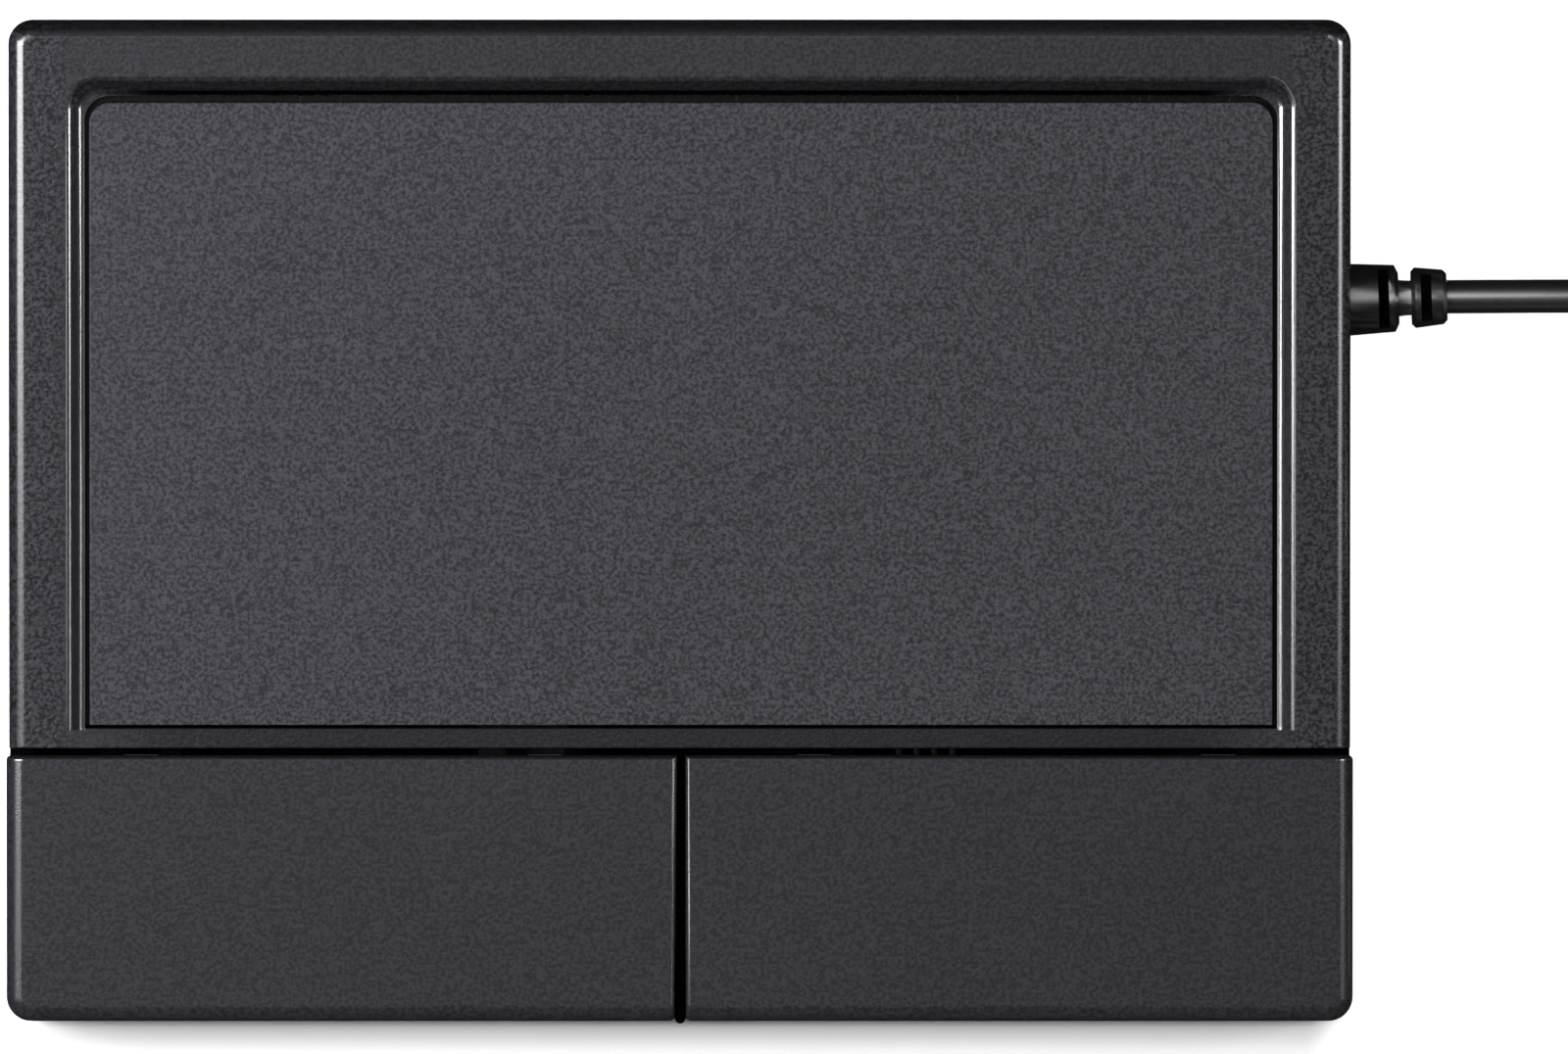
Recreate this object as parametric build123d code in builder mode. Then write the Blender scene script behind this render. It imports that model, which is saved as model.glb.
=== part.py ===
from build123d import *

import os
from math import atan, cos, degrees, hypot, pi, radians, sin, sqrt, tan

os.makedirs("parts", exist_ok=True)


# Body: widths run along X, depths along Y from the divider's nose to the back wall
body_width = 119.9
body_depth = 89.8
back_height = 19.0
front_height = 11.0
plan_corner_radius = 2.2
edge_radius = 1.55
overrun = 2.0
embed = 0.4
seat_gap = 0.1

# Bottom case
case_underside = 1.0
case_floor = 1.8
case_wall = 2.1
case_front_inset = 0.2
case_edge_radius = 1.2
parting_height = 6.5
cavity_corner_radius = 1.0
lip_wall = 0.75
lip_height = 1.6
rib_wall = 1.0
rib_height = 1.8
post_radius = 2.8
post_height = 3.2
post_inset = 3.3
front_post_setback = 8.0
head_pocket_depth = 2.6

# Divider between the buttons
nose_proud = 0.25
divider_clearance = 0.07
divider_drop = 3.0
divider_front_post = 6.0
divider_back_post = 1.8
divider_bridge_height = 6.6

# Top cover
cover_wall = 1.8
recess_depth = 1.2
recess_slope_width = 1.25
recess_lip_radius = 0.7
recess_foot_radius = 0.85
recess_corner_radius = 2.75
ledge_width = 0.35
bar_width = 1.63
bar_setback = 26.05
bar_edge_radius = 0.15
web_underside = 7.0
boss_radius = 2.1
pilot_radius = 0.82
snap_wall = 1.0
snap_length = 5.0
snap_reach = 0.9
snap_shares = (0.28, 0.56, 0.84)

# Pad and touch board
pad_side_inset = 6.95
pad_back_inset = 7.36
pad_corner_radius = 1.9
pad_groove = 0.42
pad_front_groove = 0.36
pad_edge_radius = 0.15
overlay_thickness = 0.85
overlay_drop = 0.05
adhesive_thickness = 0.2
touch_board_overhang = 1.2
touch_board_thickness = 1.2
chip_size = 7.0
chip_thickness = 0.9
chip_bevel = 0.12
passive_length = 1.6
passive_width = 0.8
passive_thickness = 0.5
passive_cap = 0.35

# Buttons
button_proud = 0.25
button_seam = 0.62
button_plate = 1.8
button_skirt = 1.2
button_inner_wall = 1.0
button_edge_radius = 0.45
skirt_gap = 0.8
inner_skirt_underside = 9.2
back_skirt_underside = 10.3
left_gap_back = 0.24
left_gap_front = 0.48
right_gap_back = 0.52
right_gap_front = 0.56
hinge_setback = 1.45
hinge_height = 8.3
hinge_pin_radius = 1.0
hinge_fit = 0.05
hinge_mouth = 1.6
hinge_side_gap = 0.25
ear_radius = 2.0
ear_width = 1.8
ear_rise = 1.2
lug_width = 3.0
lug_radius = 1.5
hinge_shares = (0.2, 0.8)
hook_width = 4.0
hook_wall = 1.0
hook_gap = 0.35
hook_reach = 0.95
hook_toe = 0.9
hook_toe_height = 4.5
hook_slack = 0.15
hook_travel = 0.8
stiffener_wall = 0.9
stiffener_depth = 1.1
stiffener_shares = (0.36, 0.68)

# Main board
board_standoff = 1.0
board_end_length = 10.0
board_length = 15.0
board_thickness = 1.2
board_front_gap = 4.35
board_post_radius = 2.2
board_screw_clearance = 1.1
board_screw_inset_x = 3.0
board_screw_offset_y = 5.0
main_chip_size = 5.0
crystal_length = 6.0
crystal_width = 2.5
crystal_height = 1.2

# Tact switches
switch_size = 6.0
switch_base_height = 3.1
switch_cover_thickness = 0.3
switch_well_radius = 2.4
switch_well_depth = 1.3
switch_setback = 5.0
dome_rise = 0.5
dome_thickness = 0.15
dome_radius = 2.2
plunger_radius = 1.75
plunger_flange_radius = 2.2
plunger_flange = 0.5
plunger_slack = 0.05
plunger_clearance = 0.12
plunger_rise = 0.9
nib_radius = 1.2
nib_gap = 0.05
terminal_width = 0.7
terminal_thickness = 0.25
terminal_reach = 1.0

# Connectors, wires and the cord inside
ribbon_x = -14.0
ribbon_width = 8.0
ribbon_bend_radius = 1.2
ribbon_thickness = 0.25
connector_height = 1.4
connector_length = 3.6
connector_margin = 1.4
connector_setback = 2.0
header_x = 22.0
header_width = 9.0
header_length = 4.2
header_height = 3.0
header_wall = 0.6
lead_radius = 0.3
lead_count = 4
lead_pitch = 1.6
lead_bundle_pitch = 0.7
lead_bend_radius = 2.0
cord_diameter = 3.0
cord_back_inset = 24.8
cord_inner_x = 26.0
cord_inner_setback = 12.5
cord_bend_radius = 9.0
cradle_wall = 1.2

# Strain relief
relief_root_radius = 3.22
relief_base_radius = 3.0
relief_base_length = 4.4
relief_gap_length = 1.12
relief_ring_radius = 2.72
relief_tip_radius = 2.45
relief_ring_length = 3.2
relief_core_radius = 1.55
relief_slot = 0.95
relief_slot_inset = 1.35
relief_ring_slot_share = 0.42
relief_chamfer = 0.35
relief_neck_radius = 2.4
relief_collar_radius = 3.4
relief_collar = 1.3

# Screws and feet
screw_radius = 0.8
screw_head_radius = 1.9
screw_head_height = 1.4
screw_head_bevel = 0.4
case_screw_length = 6.5
board_screw_length = 3.0
cross_width = 0.5
cross_length = 2.2
cross_depth = 0.8
foot_length = 14.0
foot_width = 6.0
foot_thickness = 1.5
foot_bevel = 0.3
foot_inset_x = 13.0
foot_inset_y = 7.5

# Cord outside: run, coil and tail, with the places chosen by hand on the desk
bend_share = 0.45
run_level_length = 10.95
run_drop_length = 14.0
coil_start_x = 107.0
coil_centre_x = 110.0
coil_inner_radius = 12.85
coil_wind_gap = 0.42
coil_layer_turns = 3
coil_layers = 4
tube_sides = 6
arc_samples = 12
tail_first_x = 125.0
tail_corners = (
    (138.0, 13.5, 7.0),
    (143.0, -1.0, 1.5),
    (143.5, -15.0, 1.5),
    (141.0, -24.0, 1.5),
    (137.0, -32.5, 2.2),
)
tail_last_length = 7.0

# Plug
plug_end_x = 122.5
plug_place_y = -37.5
plug_width = 15.0
plug_height = 7.6
plug_body_length = 19.0
plug_corner_radius = 2.0
plug_bevel = 0.6
plug_grip_depth = 0.4
plug_grip_width = 1.1
plug_grip_pitch = 2.6
plug_relief_length = 7.0
plug_relief_radius = 2.7
plug_relief_tip_radius = 2.0
plug_relief_slot = 0.8
plug_shell_width = 12.0
plug_shell_height = 4.5
plug_shell_wall = 0.3
plug_shell_length = 11.75
plug_shell_seat = 1.0
plug_shell_corner = 0.5
plug_window = 2.2
plug_window_setback = 5.0
plug_window_spread = 2.9
plug_tongue_height = 1.9
plug_tongue_setback = 0.5
contact_count = 4
contact_width = 1.0
contact_thickness = 0.25
contact_pitch = 2.3
contact_length = 7.5


# Places that follow from the sizes above
half_width = body_width / 2
back_y = body_depth / 2
nose_y = -back_y
pad_width = body_width - 2 * pad_side_inset
button_span = body_width + 2 * button_proud
button_half_span = button_span / 2
switch_places = [side * button_half_span / 2 for side in (-1, 1)]
board_width = button_half_span + 2 * board_end_length
cord_place_y = back_y - cord_back_inset
button_front_y = nose_y + nose_proud
case_front_y = button_front_y + case_front_inset
slope = (back_height - front_height) / (back_y - button_front_y)
tilt = atan(slope)
floor_top = case_underside + case_floor
post_top = floor_top + post_height
top_plane = Plane(
    origin=(0, 0, front_height - button_front_y * slope),
    x_dir=(1, 0, 0),
    z_dir=(0, -sin(tilt), cos(tilt)),
)


def top_height(y):
    """Height of the sloping top surface above the desk at the place y."""
    return front_height + (y - button_front_y) * slope


def slope_section(along):
    """Plane across the body that stands square on the sloping surface, at a distance along it."""
    return Plane(
        origin=(0, along * cos(tilt), top_height(along * cos(tilt))),
        x_dir=(1, 0, 0),
        z_dir=(0, -cos(tilt), -sin(tilt)),
    )


def save(piece, name):
    """Label a finished piece and write it under its own name."""
    piece.label = name
    export_step(piece, f"parts/{name}.step")


# The pad lies between the recess's back edge and the bar, both measured along the slope
cavity_front_y = case_front_y + case_wall
cavity_back_y = back_y - case_wall
cavity_half_width = half_width - case_wall
case_mid_y = (case_front_y + back_y) / 2
case_length = back_y - case_front_y
bar_back_y = button_front_y + bar_setback
bar_front_y = bar_back_y - bar_width
button_back_y = bar_front_y - button_seam
pad_front = bar_back_y / cos(tilt) + pad_front_groove
pad_back = back_y / cos(tilt) - pad_back_inset
pad_length = pad_back - pad_front
cord_inner_front_y = bar_back_y + cord_inner_setback
pad_middle = (pad_front + pad_back) / 2
window_half_width = pad_width / 2 + pad_groove
window_back = pad_back + pad_groove
shelf_depth = recess_depth + overlay_drop + overlay_thickness + adhesive_thickness
post_places = [
    (side * (half_width - post_inset), y)
    for side in (-1, 1)
    for y in (bar_front_y + front_post_setback, back_y - post_inset)
]
boot_height = parting_height


# Bottom case
board_front_y = cavity_front_y + board_front_gap
board_mid_y = board_front_y + board_length / 2
board_underside = floor_top + board_standoff
board_top = board_underside + board_thickness
board_screw_places = [
    (x_side * (board_width / 2 - board_screw_inset_x), board_mid_y + y_side * board_screw_offset_y)
    for x_side in (-1, 1)
    for y_side in (-1, 1)
]
hinge_y = button_back_y - hinge_setback
hook_places = [side * share * button_half_span for side in (-1, 1) for share in hinge_shares]
hook_leg_y = cavity_front_y + hook_gap
foot_places = [
    (x_side * (half_width - foot_inset_x), y)
    for x_side in (-1, 1)
    for y in (case_front_y + foot_inset_y, back_y - foot_inset_y)
]

with BuildPart() as divider:
    with BuildSketch(Plane.XY.offset(floor_top - embed)):
        with BuildLine():
            nose_radius = (left_gap_front + right_gap_front) / 2 - divider_clearance
            nose_x = (right_gap_front - left_gap_front) / 2
            divider_back_y = bar_front_y - button_seam
            back_left = (divider_clearance - left_gap_back, divider_back_y)
            back_right = (right_gap_back - divider_clearance, divider_back_y)
            front_right = (nose_x + nose_radius, nose_y + nose_radius)
            front_left = (nose_x - nose_radius, nose_y + nose_radius)
            Polyline(front_left, back_left, back_right, front_right)
            ThreePointArc(front_right, (nose_x, nose_y), front_left)
        make_face()
    extrude(amount=back_height)
    with BuildSketch(Plane.YZ):
        with BuildLine():
            front_post_y = nose_y + divider_front_post
            back_post_y = divider_back_y - divider_back_post
            Polyline(
                (nose_y - overrun, case_underside + case_edge_radius),
                (case_front_y + case_wall / 2, case_underside + case_edge_radius),
                (case_front_y + case_wall / 2, floor_top - embed),
                (front_post_y, floor_top - embed),
                (front_post_y, divider_bridge_height),
                (back_post_y, divider_bridge_height),
                (back_post_y, floor_top - embed),
                (divider_back_y, floor_top - embed),
                (divider_back_y, top_height(divider_back_y) - divider_drop),
                (nose_y - overrun, top_height(nose_y - overrun) - divider_drop),
                close=True,
            )
        make_face()
    extrude(amount=button_half_span, both=True, mode=Mode.INTERSECT)

with BuildPart() as bottom_case:
    with BuildSketch(Plane.XY.offset(case_underside)):
        with Locations((0, case_mid_y)):
            RectangleRounded(body_width, case_length, plan_corner_radius)
    extrude(amount=parting_height - case_underside)
    fillet(bottom_case.faces().sort_by(Axis.Z)[0].edges(), case_edge_radius)
    with BuildSketch(Plane.XY.offset(floor_top)):
        with Locations((0, case_mid_y)):
            RectangleRounded(2 * cavity_half_width, case_length - 2 * case_wall, cavity_corner_radius)
    extrude(amount=parting_height - floor_top, mode=Mode.SUBTRACT)
    with BuildSketch(Plane.XY.offset(parting_height)):
        with Locations((0, case_mid_y)):
            RectangleRounded(
                2 * (cavity_half_width + lip_wall),
                case_length - 2 * (case_wall - lip_wall),
                cavity_corner_radius + lip_wall,
            )
            RectangleRounded(
                2 * cavity_half_width, case_length - 2 * case_wall, cavity_corner_radius, mode=Mode.SUBTRACT
            )
    extrude(amount=lip_height)

    # Screw posts, pockets for the cover's bosses and counterbored holes from below
    with BuildSketch(Plane.XY.offset(floor_top - embed)):
        with Locations(*post_places):
            Circle(post_radius)
        with Locations((0, case_mid_y)):
            RectangleRounded(body_width, case_length, plan_corner_radius, mode=Mode.INTERSECT)
    extrude(amount=post_height + embed)
    with BuildSketch(Plane.XY.offset(post_top)):
        with Locations(*post_places):
            Circle(boss_radius + seat_gap)
    extrude(amount=back_height, mode=Mode.SUBTRACT)
    with Locations(*[Plane(origin=(x, y, case_underside), z_dir=(0, 0, -1)) for x, y in post_places]):
        CounterBoreHole(screw_radius + 2 * seat_gap, screw_head_radius + 2 * seat_gap, head_pocket_depth)

    # Ribs on the floor, behind the bar
    with BuildSketch(Plane.XY.offset(floor_top - embed)):
        with Locations((0, cavity_back_y / 3), (0, 2 * cavity_back_y / 3)):
            Rectangle(2 * cavity_half_width + 2 * embed, rib_wall)
        for side in (-1, 1):
            with Locations((side * cavity_half_width / 3, cavity_back_y / 2)):
                Rectangle(rib_wall, cavity_back_y + 2 * embed)
    extrude(amount=rib_height + embed)

    # Cradles that hold the cord inside, each with a round notch
    with BuildSketch(Plane.XY.offset(floor_top - embed)):
        with Locations((cord_inner_x + 2 * cord_bend_radius, cord_place_y)):
            Rectangle(cradle_wall, 3 * cord_diameter)
        with Locations((cord_inner_x, cord_inner_front_y + cord_diameter)):
            Rectangle(3 * cord_diameter, cradle_wall)
    extrude(amount=boot_height - floor_top + embed)
    with BuildSketch(Plane.YZ):
        with Locations((cord_place_y, boot_height)):
            Circle(cord_diameter / 2 + seat_gap)
    extrude(amount=cord_inner_x + 3 * cord_bend_radius, mode=Mode.SUBTRACT)
    with BuildSketch(Plane.XZ):
        with Locations((cord_inner_x, boot_height)):
            Circle(cord_diameter / 2 + seat_gap)
    extrude(amount=-cord_inner_front_y + overrun, mode=Mode.SUBTRACT)

    # Standoffs for the main board
    with BuildSketch(Plane.XY.offset(floor_top - embed)):
        with Locations(*board_screw_places):
            Circle(board_post_radius)
    extrude(amount=board_standoff + embed)
    with Locations(*[(x, y, board_underside) for x, y in board_screw_places]):
        Hole(pilot_radius, depth=board_standoff + case_floor / 2)

    # Pockets in the front wall that the buttons' hooks reach into
    with BuildSketch(Plane.XY.offset(hook_toe_height - hook_travel)):
        for x in hook_places:
            with Locations((x, cavity_front_y)):
                Rectangle(hook_width + 6 * seat_gap, 2 * hook_toe + 2 * seat_gap)
    extrude(amount=hook_travel + hook_reach + hook_slack, mode=Mode.SUBTRACT)

    # Way out for the strain relief, half in this wall and half in the cover's
    with BuildSketch(Plane.YZ.offset(cavity_half_width - overrun)):
        with Locations((cord_place_y, boot_height)):
            Circle(relief_neck_radius + seat_gap)
    extrude(amount=case_wall + 2 * overrun, mode=Mode.SUBTRACT)

    # Shallow seats for the feet
    with BuildSketch(Plane.XY.offset(case_underside)):
        with Locations(*foot_places):
            SlotOverall(foot_length + 2 * seat_gap, foot_width + 2 * seat_gap)
    extrude(amount=foot_thickness - case_underside, mode=Mode.SUBTRACT)
    add(divider.part)
save(bottom_case.part, "bottom_case")

with BuildPart() as rubber_feet:
    with BuildSketch(Plane.XY):
        with Locations(*foot_places):
            SlotOverall(foot_length, foot_width)
    extrude(amount=foot_thickness)
    chamfer(rubber_feet.faces().group_by(Axis.Z)[0].edges(), foot_bevel)
save(rubber_feet.part, "rubber_feet")


# Top cover: the hollow and the sloped recess are made first, as solids to cut away
with BuildPart() as cover_hollow:
    with BuildSketch(Plane.XY.offset(parting_height - overrun)):
        hollow_length = back_y - cover_wall - bar_back_y
        with Locations((0, bar_back_y + hollow_length / 2)):
            Rectangle(2 * (half_width - cover_wall), hollow_length)
        fillet(vertices().group_by(Axis.Y)[-1], cavity_corner_radius)
    extrude(amount=2 * back_height)
    split(bisect_by=top_plane.offset(-shelf_depth), keep=Keep.BOTTOM)

with BuildPart() as recess:
    with BuildSketch(top_plane):
        outset = ledge_width + recess_slope_width
        lip_back = window_back + outset
        lip_front = bar_front_y - 2 * recess_slope_width
        with Locations((0, (lip_front + lip_back) / 2)):
            Rectangle(2 * (window_half_width + outset), lip_back - lip_front)
        fillet(vertices().group_by(Axis.Y)[-1], recess_corner_radius)
    extrude(amount=-recess_depth, taper=degrees(atan(recess_slope_width / recess_depth)))
    recess_foot = recess.faces().filter_by(top_plane).sort_by(Axis.Z)[0].edges().sort_by(Axis.Y)[1:]
    fillet(recess_foot, recess_foot_radius)
    split(bisect_by=Plane.XZ.offset(-bar_back_y), keep=Keep.BOTTOM)

with BuildPart() as window:
    with BuildSketch(top_plane):
        window_front = bar_back_y / cos(tilt)
        with Locations((0, (window_front + window_back) / 2)):
            Rectangle(2 * window_half_width, window_back - window_front)
        fillet(vertices().group_by(Axis.Y)[-1], pad_corner_radius + pad_groove)
    extrude(amount=-2 * shelf_depth)
    split(bisect_by=Plane.XZ.offset(-bar_back_y), keep=Keep.BOTTOM)

with BuildPart() as top_cover:
    with BuildSketch(Plane.XY.offset(parting_height)):
        with Locations((0, (bar_front_y + back_y) / 2)):
            Rectangle(body_width, back_y - bar_front_y)
        fillet(vertices().group_by(Axis.Y)[-1], plan_corner_radius)
    extrude(amount=back_height)
    split(bisect_by=top_plane, keep=Keep.BOTTOM)
    rim = top_cover.faces().sort_by(Axis.Z)[-1].edges()
    fillet(rim.sort_by(Axis.Y)[1:], edge_radius)
    fillet(top_cover.faces().filter_by(top_plane)[0].edges().sort_by(Axis.Y)[0], bar_edge_radius)
    add(cover_hollow.part, mode=Mode.SUBTRACT)
    add(recess.part, mode=Mode.SUBTRACT)
    frame_face = top_cover.faces().filter_by(top_plane).sort_by(Axis.Z)[-1]
    fillet(frame_face.inner_wires()[0].edges().sort_by(Axis.Y)[1:], recess_lip_radius)
    add(window.part, mode=Mode.SUBTRACT)

    # Room under the bar, then the rebate that the case's lip enters
    with BuildSketch(Plane.XY.offset(parting_height)):
        with Locations((0, (bar_front_y + bar_back_y) / 2)):
            Rectangle(2 * (half_width - cover_wall), 2 * bar_width)
    extrude(amount=web_underside - parting_height, mode=Mode.SUBTRACT)
    with BuildSketch(Plane.XY.offset(parting_height)):
        with Locations((0, case_mid_y)):
            RectangleRounded(
                2 * (cavity_half_width + lip_wall + seat_gap),
                case_length - 2 * (case_wall - lip_wall - seat_gap),
                cavity_corner_radius + lip_wall + seat_gap,
            )
            RectangleRounded(
                2 * (cavity_half_width - seat_gap),
                case_length - 2 * (case_wall + seat_gap),
                cavity_corner_radius,
                mode=Mode.SUBTRACT,
            )
    extrude(amount=lip_height + seat_gap, mode=Mode.SUBTRACT)

    # Screw bosses under the frame
    for x, y in post_places:
        with BuildSketch(Plane.XY.offset(post_top)):
            with Locations((x, y)):
                Circle(boss_radius)
        extrude(amount=top_height(y) - shelf_depth + embed - post_top)
    with Locations(*[Plane(origin=(x, y, post_top), z_dir=(0, 0, -1)) for x, y in post_places]):
        Hole(pilot_radius, depth=case_screw_length + head_pocket_depth + case_underside - post_top + embed)

    # Hooks that clip the touch board up against the ledge
    board_half_width = pad_width / 2 + touch_board_overhang
    snap_x = board_half_width + seat_gap
    board_depth = shelf_depth + touch_board_thickness
    for share in snap_shares:
        with BuildSketch(slope_section(pad_front + share * pad_length)):
            with BuildLine():
                Polyline(
                    (snap_x, embed - shelf_depth),
                    (snap_x + snap_wall, embed - shelf_depth),
                    (snap_x + snap_wall, -board_depth - snap_reach),
                    (snap_x, -board_depth - snap_reach),
                    (snap_x - snap_reach, -board_depth - snap_reach / 2),
                    (snap_x - snap_reach, -board_depth),
                    (snap_x, -board_depth),
                    close=True,
                )
            make_face()
            mirror(about=Plane.YZ)
        extrude(amount=snap_length / 2, both=True)

    # Open ears in front of the bar, in pairs, that the buttons' pins snap into
    ear_offset = (lug_width + ear_width) / 2 + hinge_side_gap
    for hinge_x in hook_places:
        for ear_x in (hinge_x - ear_offset, hinge_x + ear_offset):
            with BuildSketch(Plane.YZ.offset(ear_x)):
                with Locations((hinge_y, hinge_height)):
                    Circle(ear_radius)
                with Locations((hinge_y, hinge_height - ear_radius)):
                    Rectangle(
                        bar_front_y - hinge_y + embed, ear_radius + ear_rise, align=(Align.MIN, Align.MIN)
                    )
                with Locations((hinge_y, hinge_height + ear_rise)):
                    Rectangle(
                        2 * ear_radius, ear_radius, align=(Align.CENTER, Align.MIN), mode=Mode.SUBTRACT
                    )
                with Locations((hinge_y, hinge_height)):
                    Circle(hinge_pin_radius + hinge_fit, mode=Mode.SUBTRACT)
                    Rectangle(
                        hinge_mouth, 2 * ear_rise, align=(Align.CENTER, Align.MIN), mode=Mode.SUBTRACT
                    )
            extrude(amount=ear_width / 2, both=True)

    # Half of the strain relief's way out
    with BuildSketch(Plane.YZ.offset(half_width - cover_wall - overrun)):
        with Locations((cord_place_y, boot_height)):
            Circle(relief_neck_radius + seat_gap)
    extrude(amount=cover_wall + 2 * overrun, mode=Mode.SUBTRACT)
save(top_cover.part, "top_cover")


# Buttons: hollow caps with their own front and side walls, hinged under their back edge
plunger_top = board_top + switch_base_height + switch_cover_thickness + plunger_rise
switch_y = board_front_y + switch_setback

for name, side, gap_back, gap_front in (
    ("left_button", -1, left_gap_back, left_gap_front),
    ("right_button", 1, right_gap_back, right_gap_front),
):
    outer_x = side * button_half_span
    button_hooks = [side * share * button_half_span for share in hinge_shares]
    with BuildPart() as button_hollow:
        with BuildSketch(Plane.XY.offset(parting_height)):
            with BuildLine():
                Polyline(
                    (outer_x - side * button_skirt, button_back_y - button_inner_wall),
                    (outer_x - side * button_skirt, button_front_y + button_skirt),
                    (side * (gap_front + button_inner_wall), button_front_y + button_skirt),
                    (side * (gap_back + button_inner_wall), button_back_y - button_inner_wall),
                    close=True,
                )
            make_face()
            corner = vertices().group_by(Axis.Y)[0].sort_by(Axis.X)[0 if side < 0 else -1]
            fillet(corner, plan_corner_radius - button_skirt)
        extrude(amount=back_height)
        split(bisect_by=top_plane.offset(-button_plate), keep=Keep.BOTTOM)

    with BuildPart() as stiffeners:
        with BuildSketch(Plane.XY.offset(parting_height)):
            for share in stiffener_shares:
                rib_y = button_front_y + share * (button_back_y - button_front_y)
                with Locations((side * button_half_span / 2, rib_y)):
                    Rectangle(button_half_span - 2 * button_skirt, stiffener_wall)
        extrude(amount=back_height)
        split(bisect_by=top_plane.offset(embed - button_plate), keep=Keep.BOTTOM)
        split(bisect_by=top_plane.offset(-button_plate - stiffener_depth), keep=Keep.TOP)

    with BuildPart() as button:
        with BuildSketch(Plane.XY.offset(parting_height + skirt_gap)):
            with BuildLine():
                Polyline(
                    (outer_x, button_back_y),
                    (outer_x, button_front_y),
                    (side * gap_front, button_front_y),
                    (side * gap_back, button_back_y),
                    close=True,
                )
            make_face()
            corner = vertices().group_by(Axis.Y)[0].sort_by(Axis.X)[0 if side < 0 else -1]
            fillet(corner, plan_corner_radius)
        extrude(amount=back_height)
        split(bisect_by=top_plane, keep=Keep.BOTTOM)
        rim = button.faces().sort_by(Axis.Z)[-1].edges()
        back_edge = rim.sort_by(Axis.Y)[-1]
        inner_edge = rim.sort_by(lambda edge: abs(edge.center().X))[0]
        fillet([edge for edge in rim if edge not in (back_edge, inner_edge)], edge_radius)
        rim = button.faces().sort_by(Axis.Z)[-1].edges()
        back_edge = rim.sort_by(Axis.Y)[-1]
        inner_edge = rim.sort_by(lambda edge: abs(edge.center().X))[0]
        fillet([back_edge, inner_edge], button_edge_radius)
        add(button_hollow.part, mode=Mode.SUBTRACT)

        # The back and inner walls stop above the ears and above the case's lip
        with BuildSketch(Plane.XY.offset(parting_height)):
            with Locations((side * button_half_span / 2, button_back_y)):
                Rectangle(button_half_span - 2 * button_skirt, 2 * button_inner_wall + overrun)
        extrude(amount=back_skirt_underside - parting_height, mode=Mode.SUBTRACT)
        with BuildSketch(Plane.XY.offset(parting_height)):
            with Locations((0, button_back_y)):
                Rectangle(
                    2 * (right_gap_front + button_inner_wall) + overrun,
                    button_back_y - button_front_y - button_skirt,
                    align=(Align.CENTER, Align.MAX),
                )
        extrude(amount=inner_skirt_underside - parting_height, mode=Mode.SUBTRACT)

        add(stiffeners.part)

        # Hinge lugs with their cross pins
        for hinge_x in button_hooks:
            with BuildSketch(Plane.YZ.offset(hinge_x)):
                with Locations((hinge_y, hinge_height)):
                    Circle(lug_radius)
                    Rectangle(
                        2 * lug_radius,
                        top_height(hinge_y) - button_plate - hinge_height + embed,
                        align=(Align.CENTER, Align.MIN),
                    )
            extrude(amount=lug_width / 2, both=True)
            with BuildSketch(Plane.YZ.offset(hinge_x)):
                with Locations((hinge_y, hinge_height)):
                    Circle(hinge_pin_radius)
            extrude(amount=lug_width / 2 + hinge_side_gap + ear_width, both=True)

        # Hooks that keep the front edge from lifting
        for hook_x in button_hooks:
            toe_front_y = cavity_front_y - hook_toe + seat_gap
            with BuildSketch(Plane.YZ.offset(hook_x)):
                with BuildLine():
                    Polyline(
                        (hook_leg_y, top_height(hook_leg_y) - button_plate + embed),
                        (hook_leg_y, hook_toe_height + hook_reach),
                        (toe_front_y, hook_toe_height + hook_reach),
                        (toe_front_y, hook_toe_height + hook_reach / 2),
                        (hook_leg_y, hook_toe_height),
                        (hook_leg_y + hook_wall, hook_toe_height),
                        (hook_leg_y + hook_wall, top_height(hook_leg_y) - button_plate + embed),
                        close=True,
                    )
                make_face()
            extrude(amount=hook_width / 2, both=True)

        # Nib that presses the switch
        nib_foot = plunger_top + nib_gap
        with BuildSketch(Plane.XY.offset(nib_foot)):
            with Locations((side * button_half_span / 2, switch_y)):
                Circle(nib_radius)
        extrude(amount=top_height(switch_y) - button_plate + embed - nib_foot)
    save(button.part, name)


# Touch module: the textured overlay, its adhesive, the board below and what sits under the board
board_front = pad_front - seat_gap
board_back = pad_back + touch_board_overhang
board_face = top_plane.offset(-board_depth)

with BuildPart() as touch_overlay:
    with BuildSketch(top_plane.offset(-recess_depth - overlay_drop)):
        with Locations((0, pad_middle)):
            Rectangle(pad_width, pad_length)
        fillet(vertices().group_by(Axis.Y)[-1], pad_corner_radius)
    extrude(amount=-overlay_thickness)
    fillet(touch_overlay.faces().sort_by(Axis.Z)[-1].edges(), pad_edge_radius)
save(touch_overlay.part, "touch_overlay")

with BuildPart() as touch_adhesive:
    with BuildSketch(top_plane.offset(adhesive_thickness - shelf_depth)):
        with Locations((0, pad_middle)):
            margin = 2 * pad_corner_radius
            RectangleRounded(pad_width - margin, pad_length - margin, pad_corner_radius)
    extrude(amount=-adhesive_thickness)
save(touch_adhesive.part, "touch_adhesive")

with BuildPart() as touch_board:
    with BuildSketch(top_plane.offset(-shelf_depth)):
        with Locations((0, (board_front + board_back) / 2)):
            RectangleRounded(2 * board_half_width, board_back - board_front, cavity_corner_radius)
    extrude(amount=-touch_board_thickness)
save(touch_board.part, "touch_board")

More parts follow.
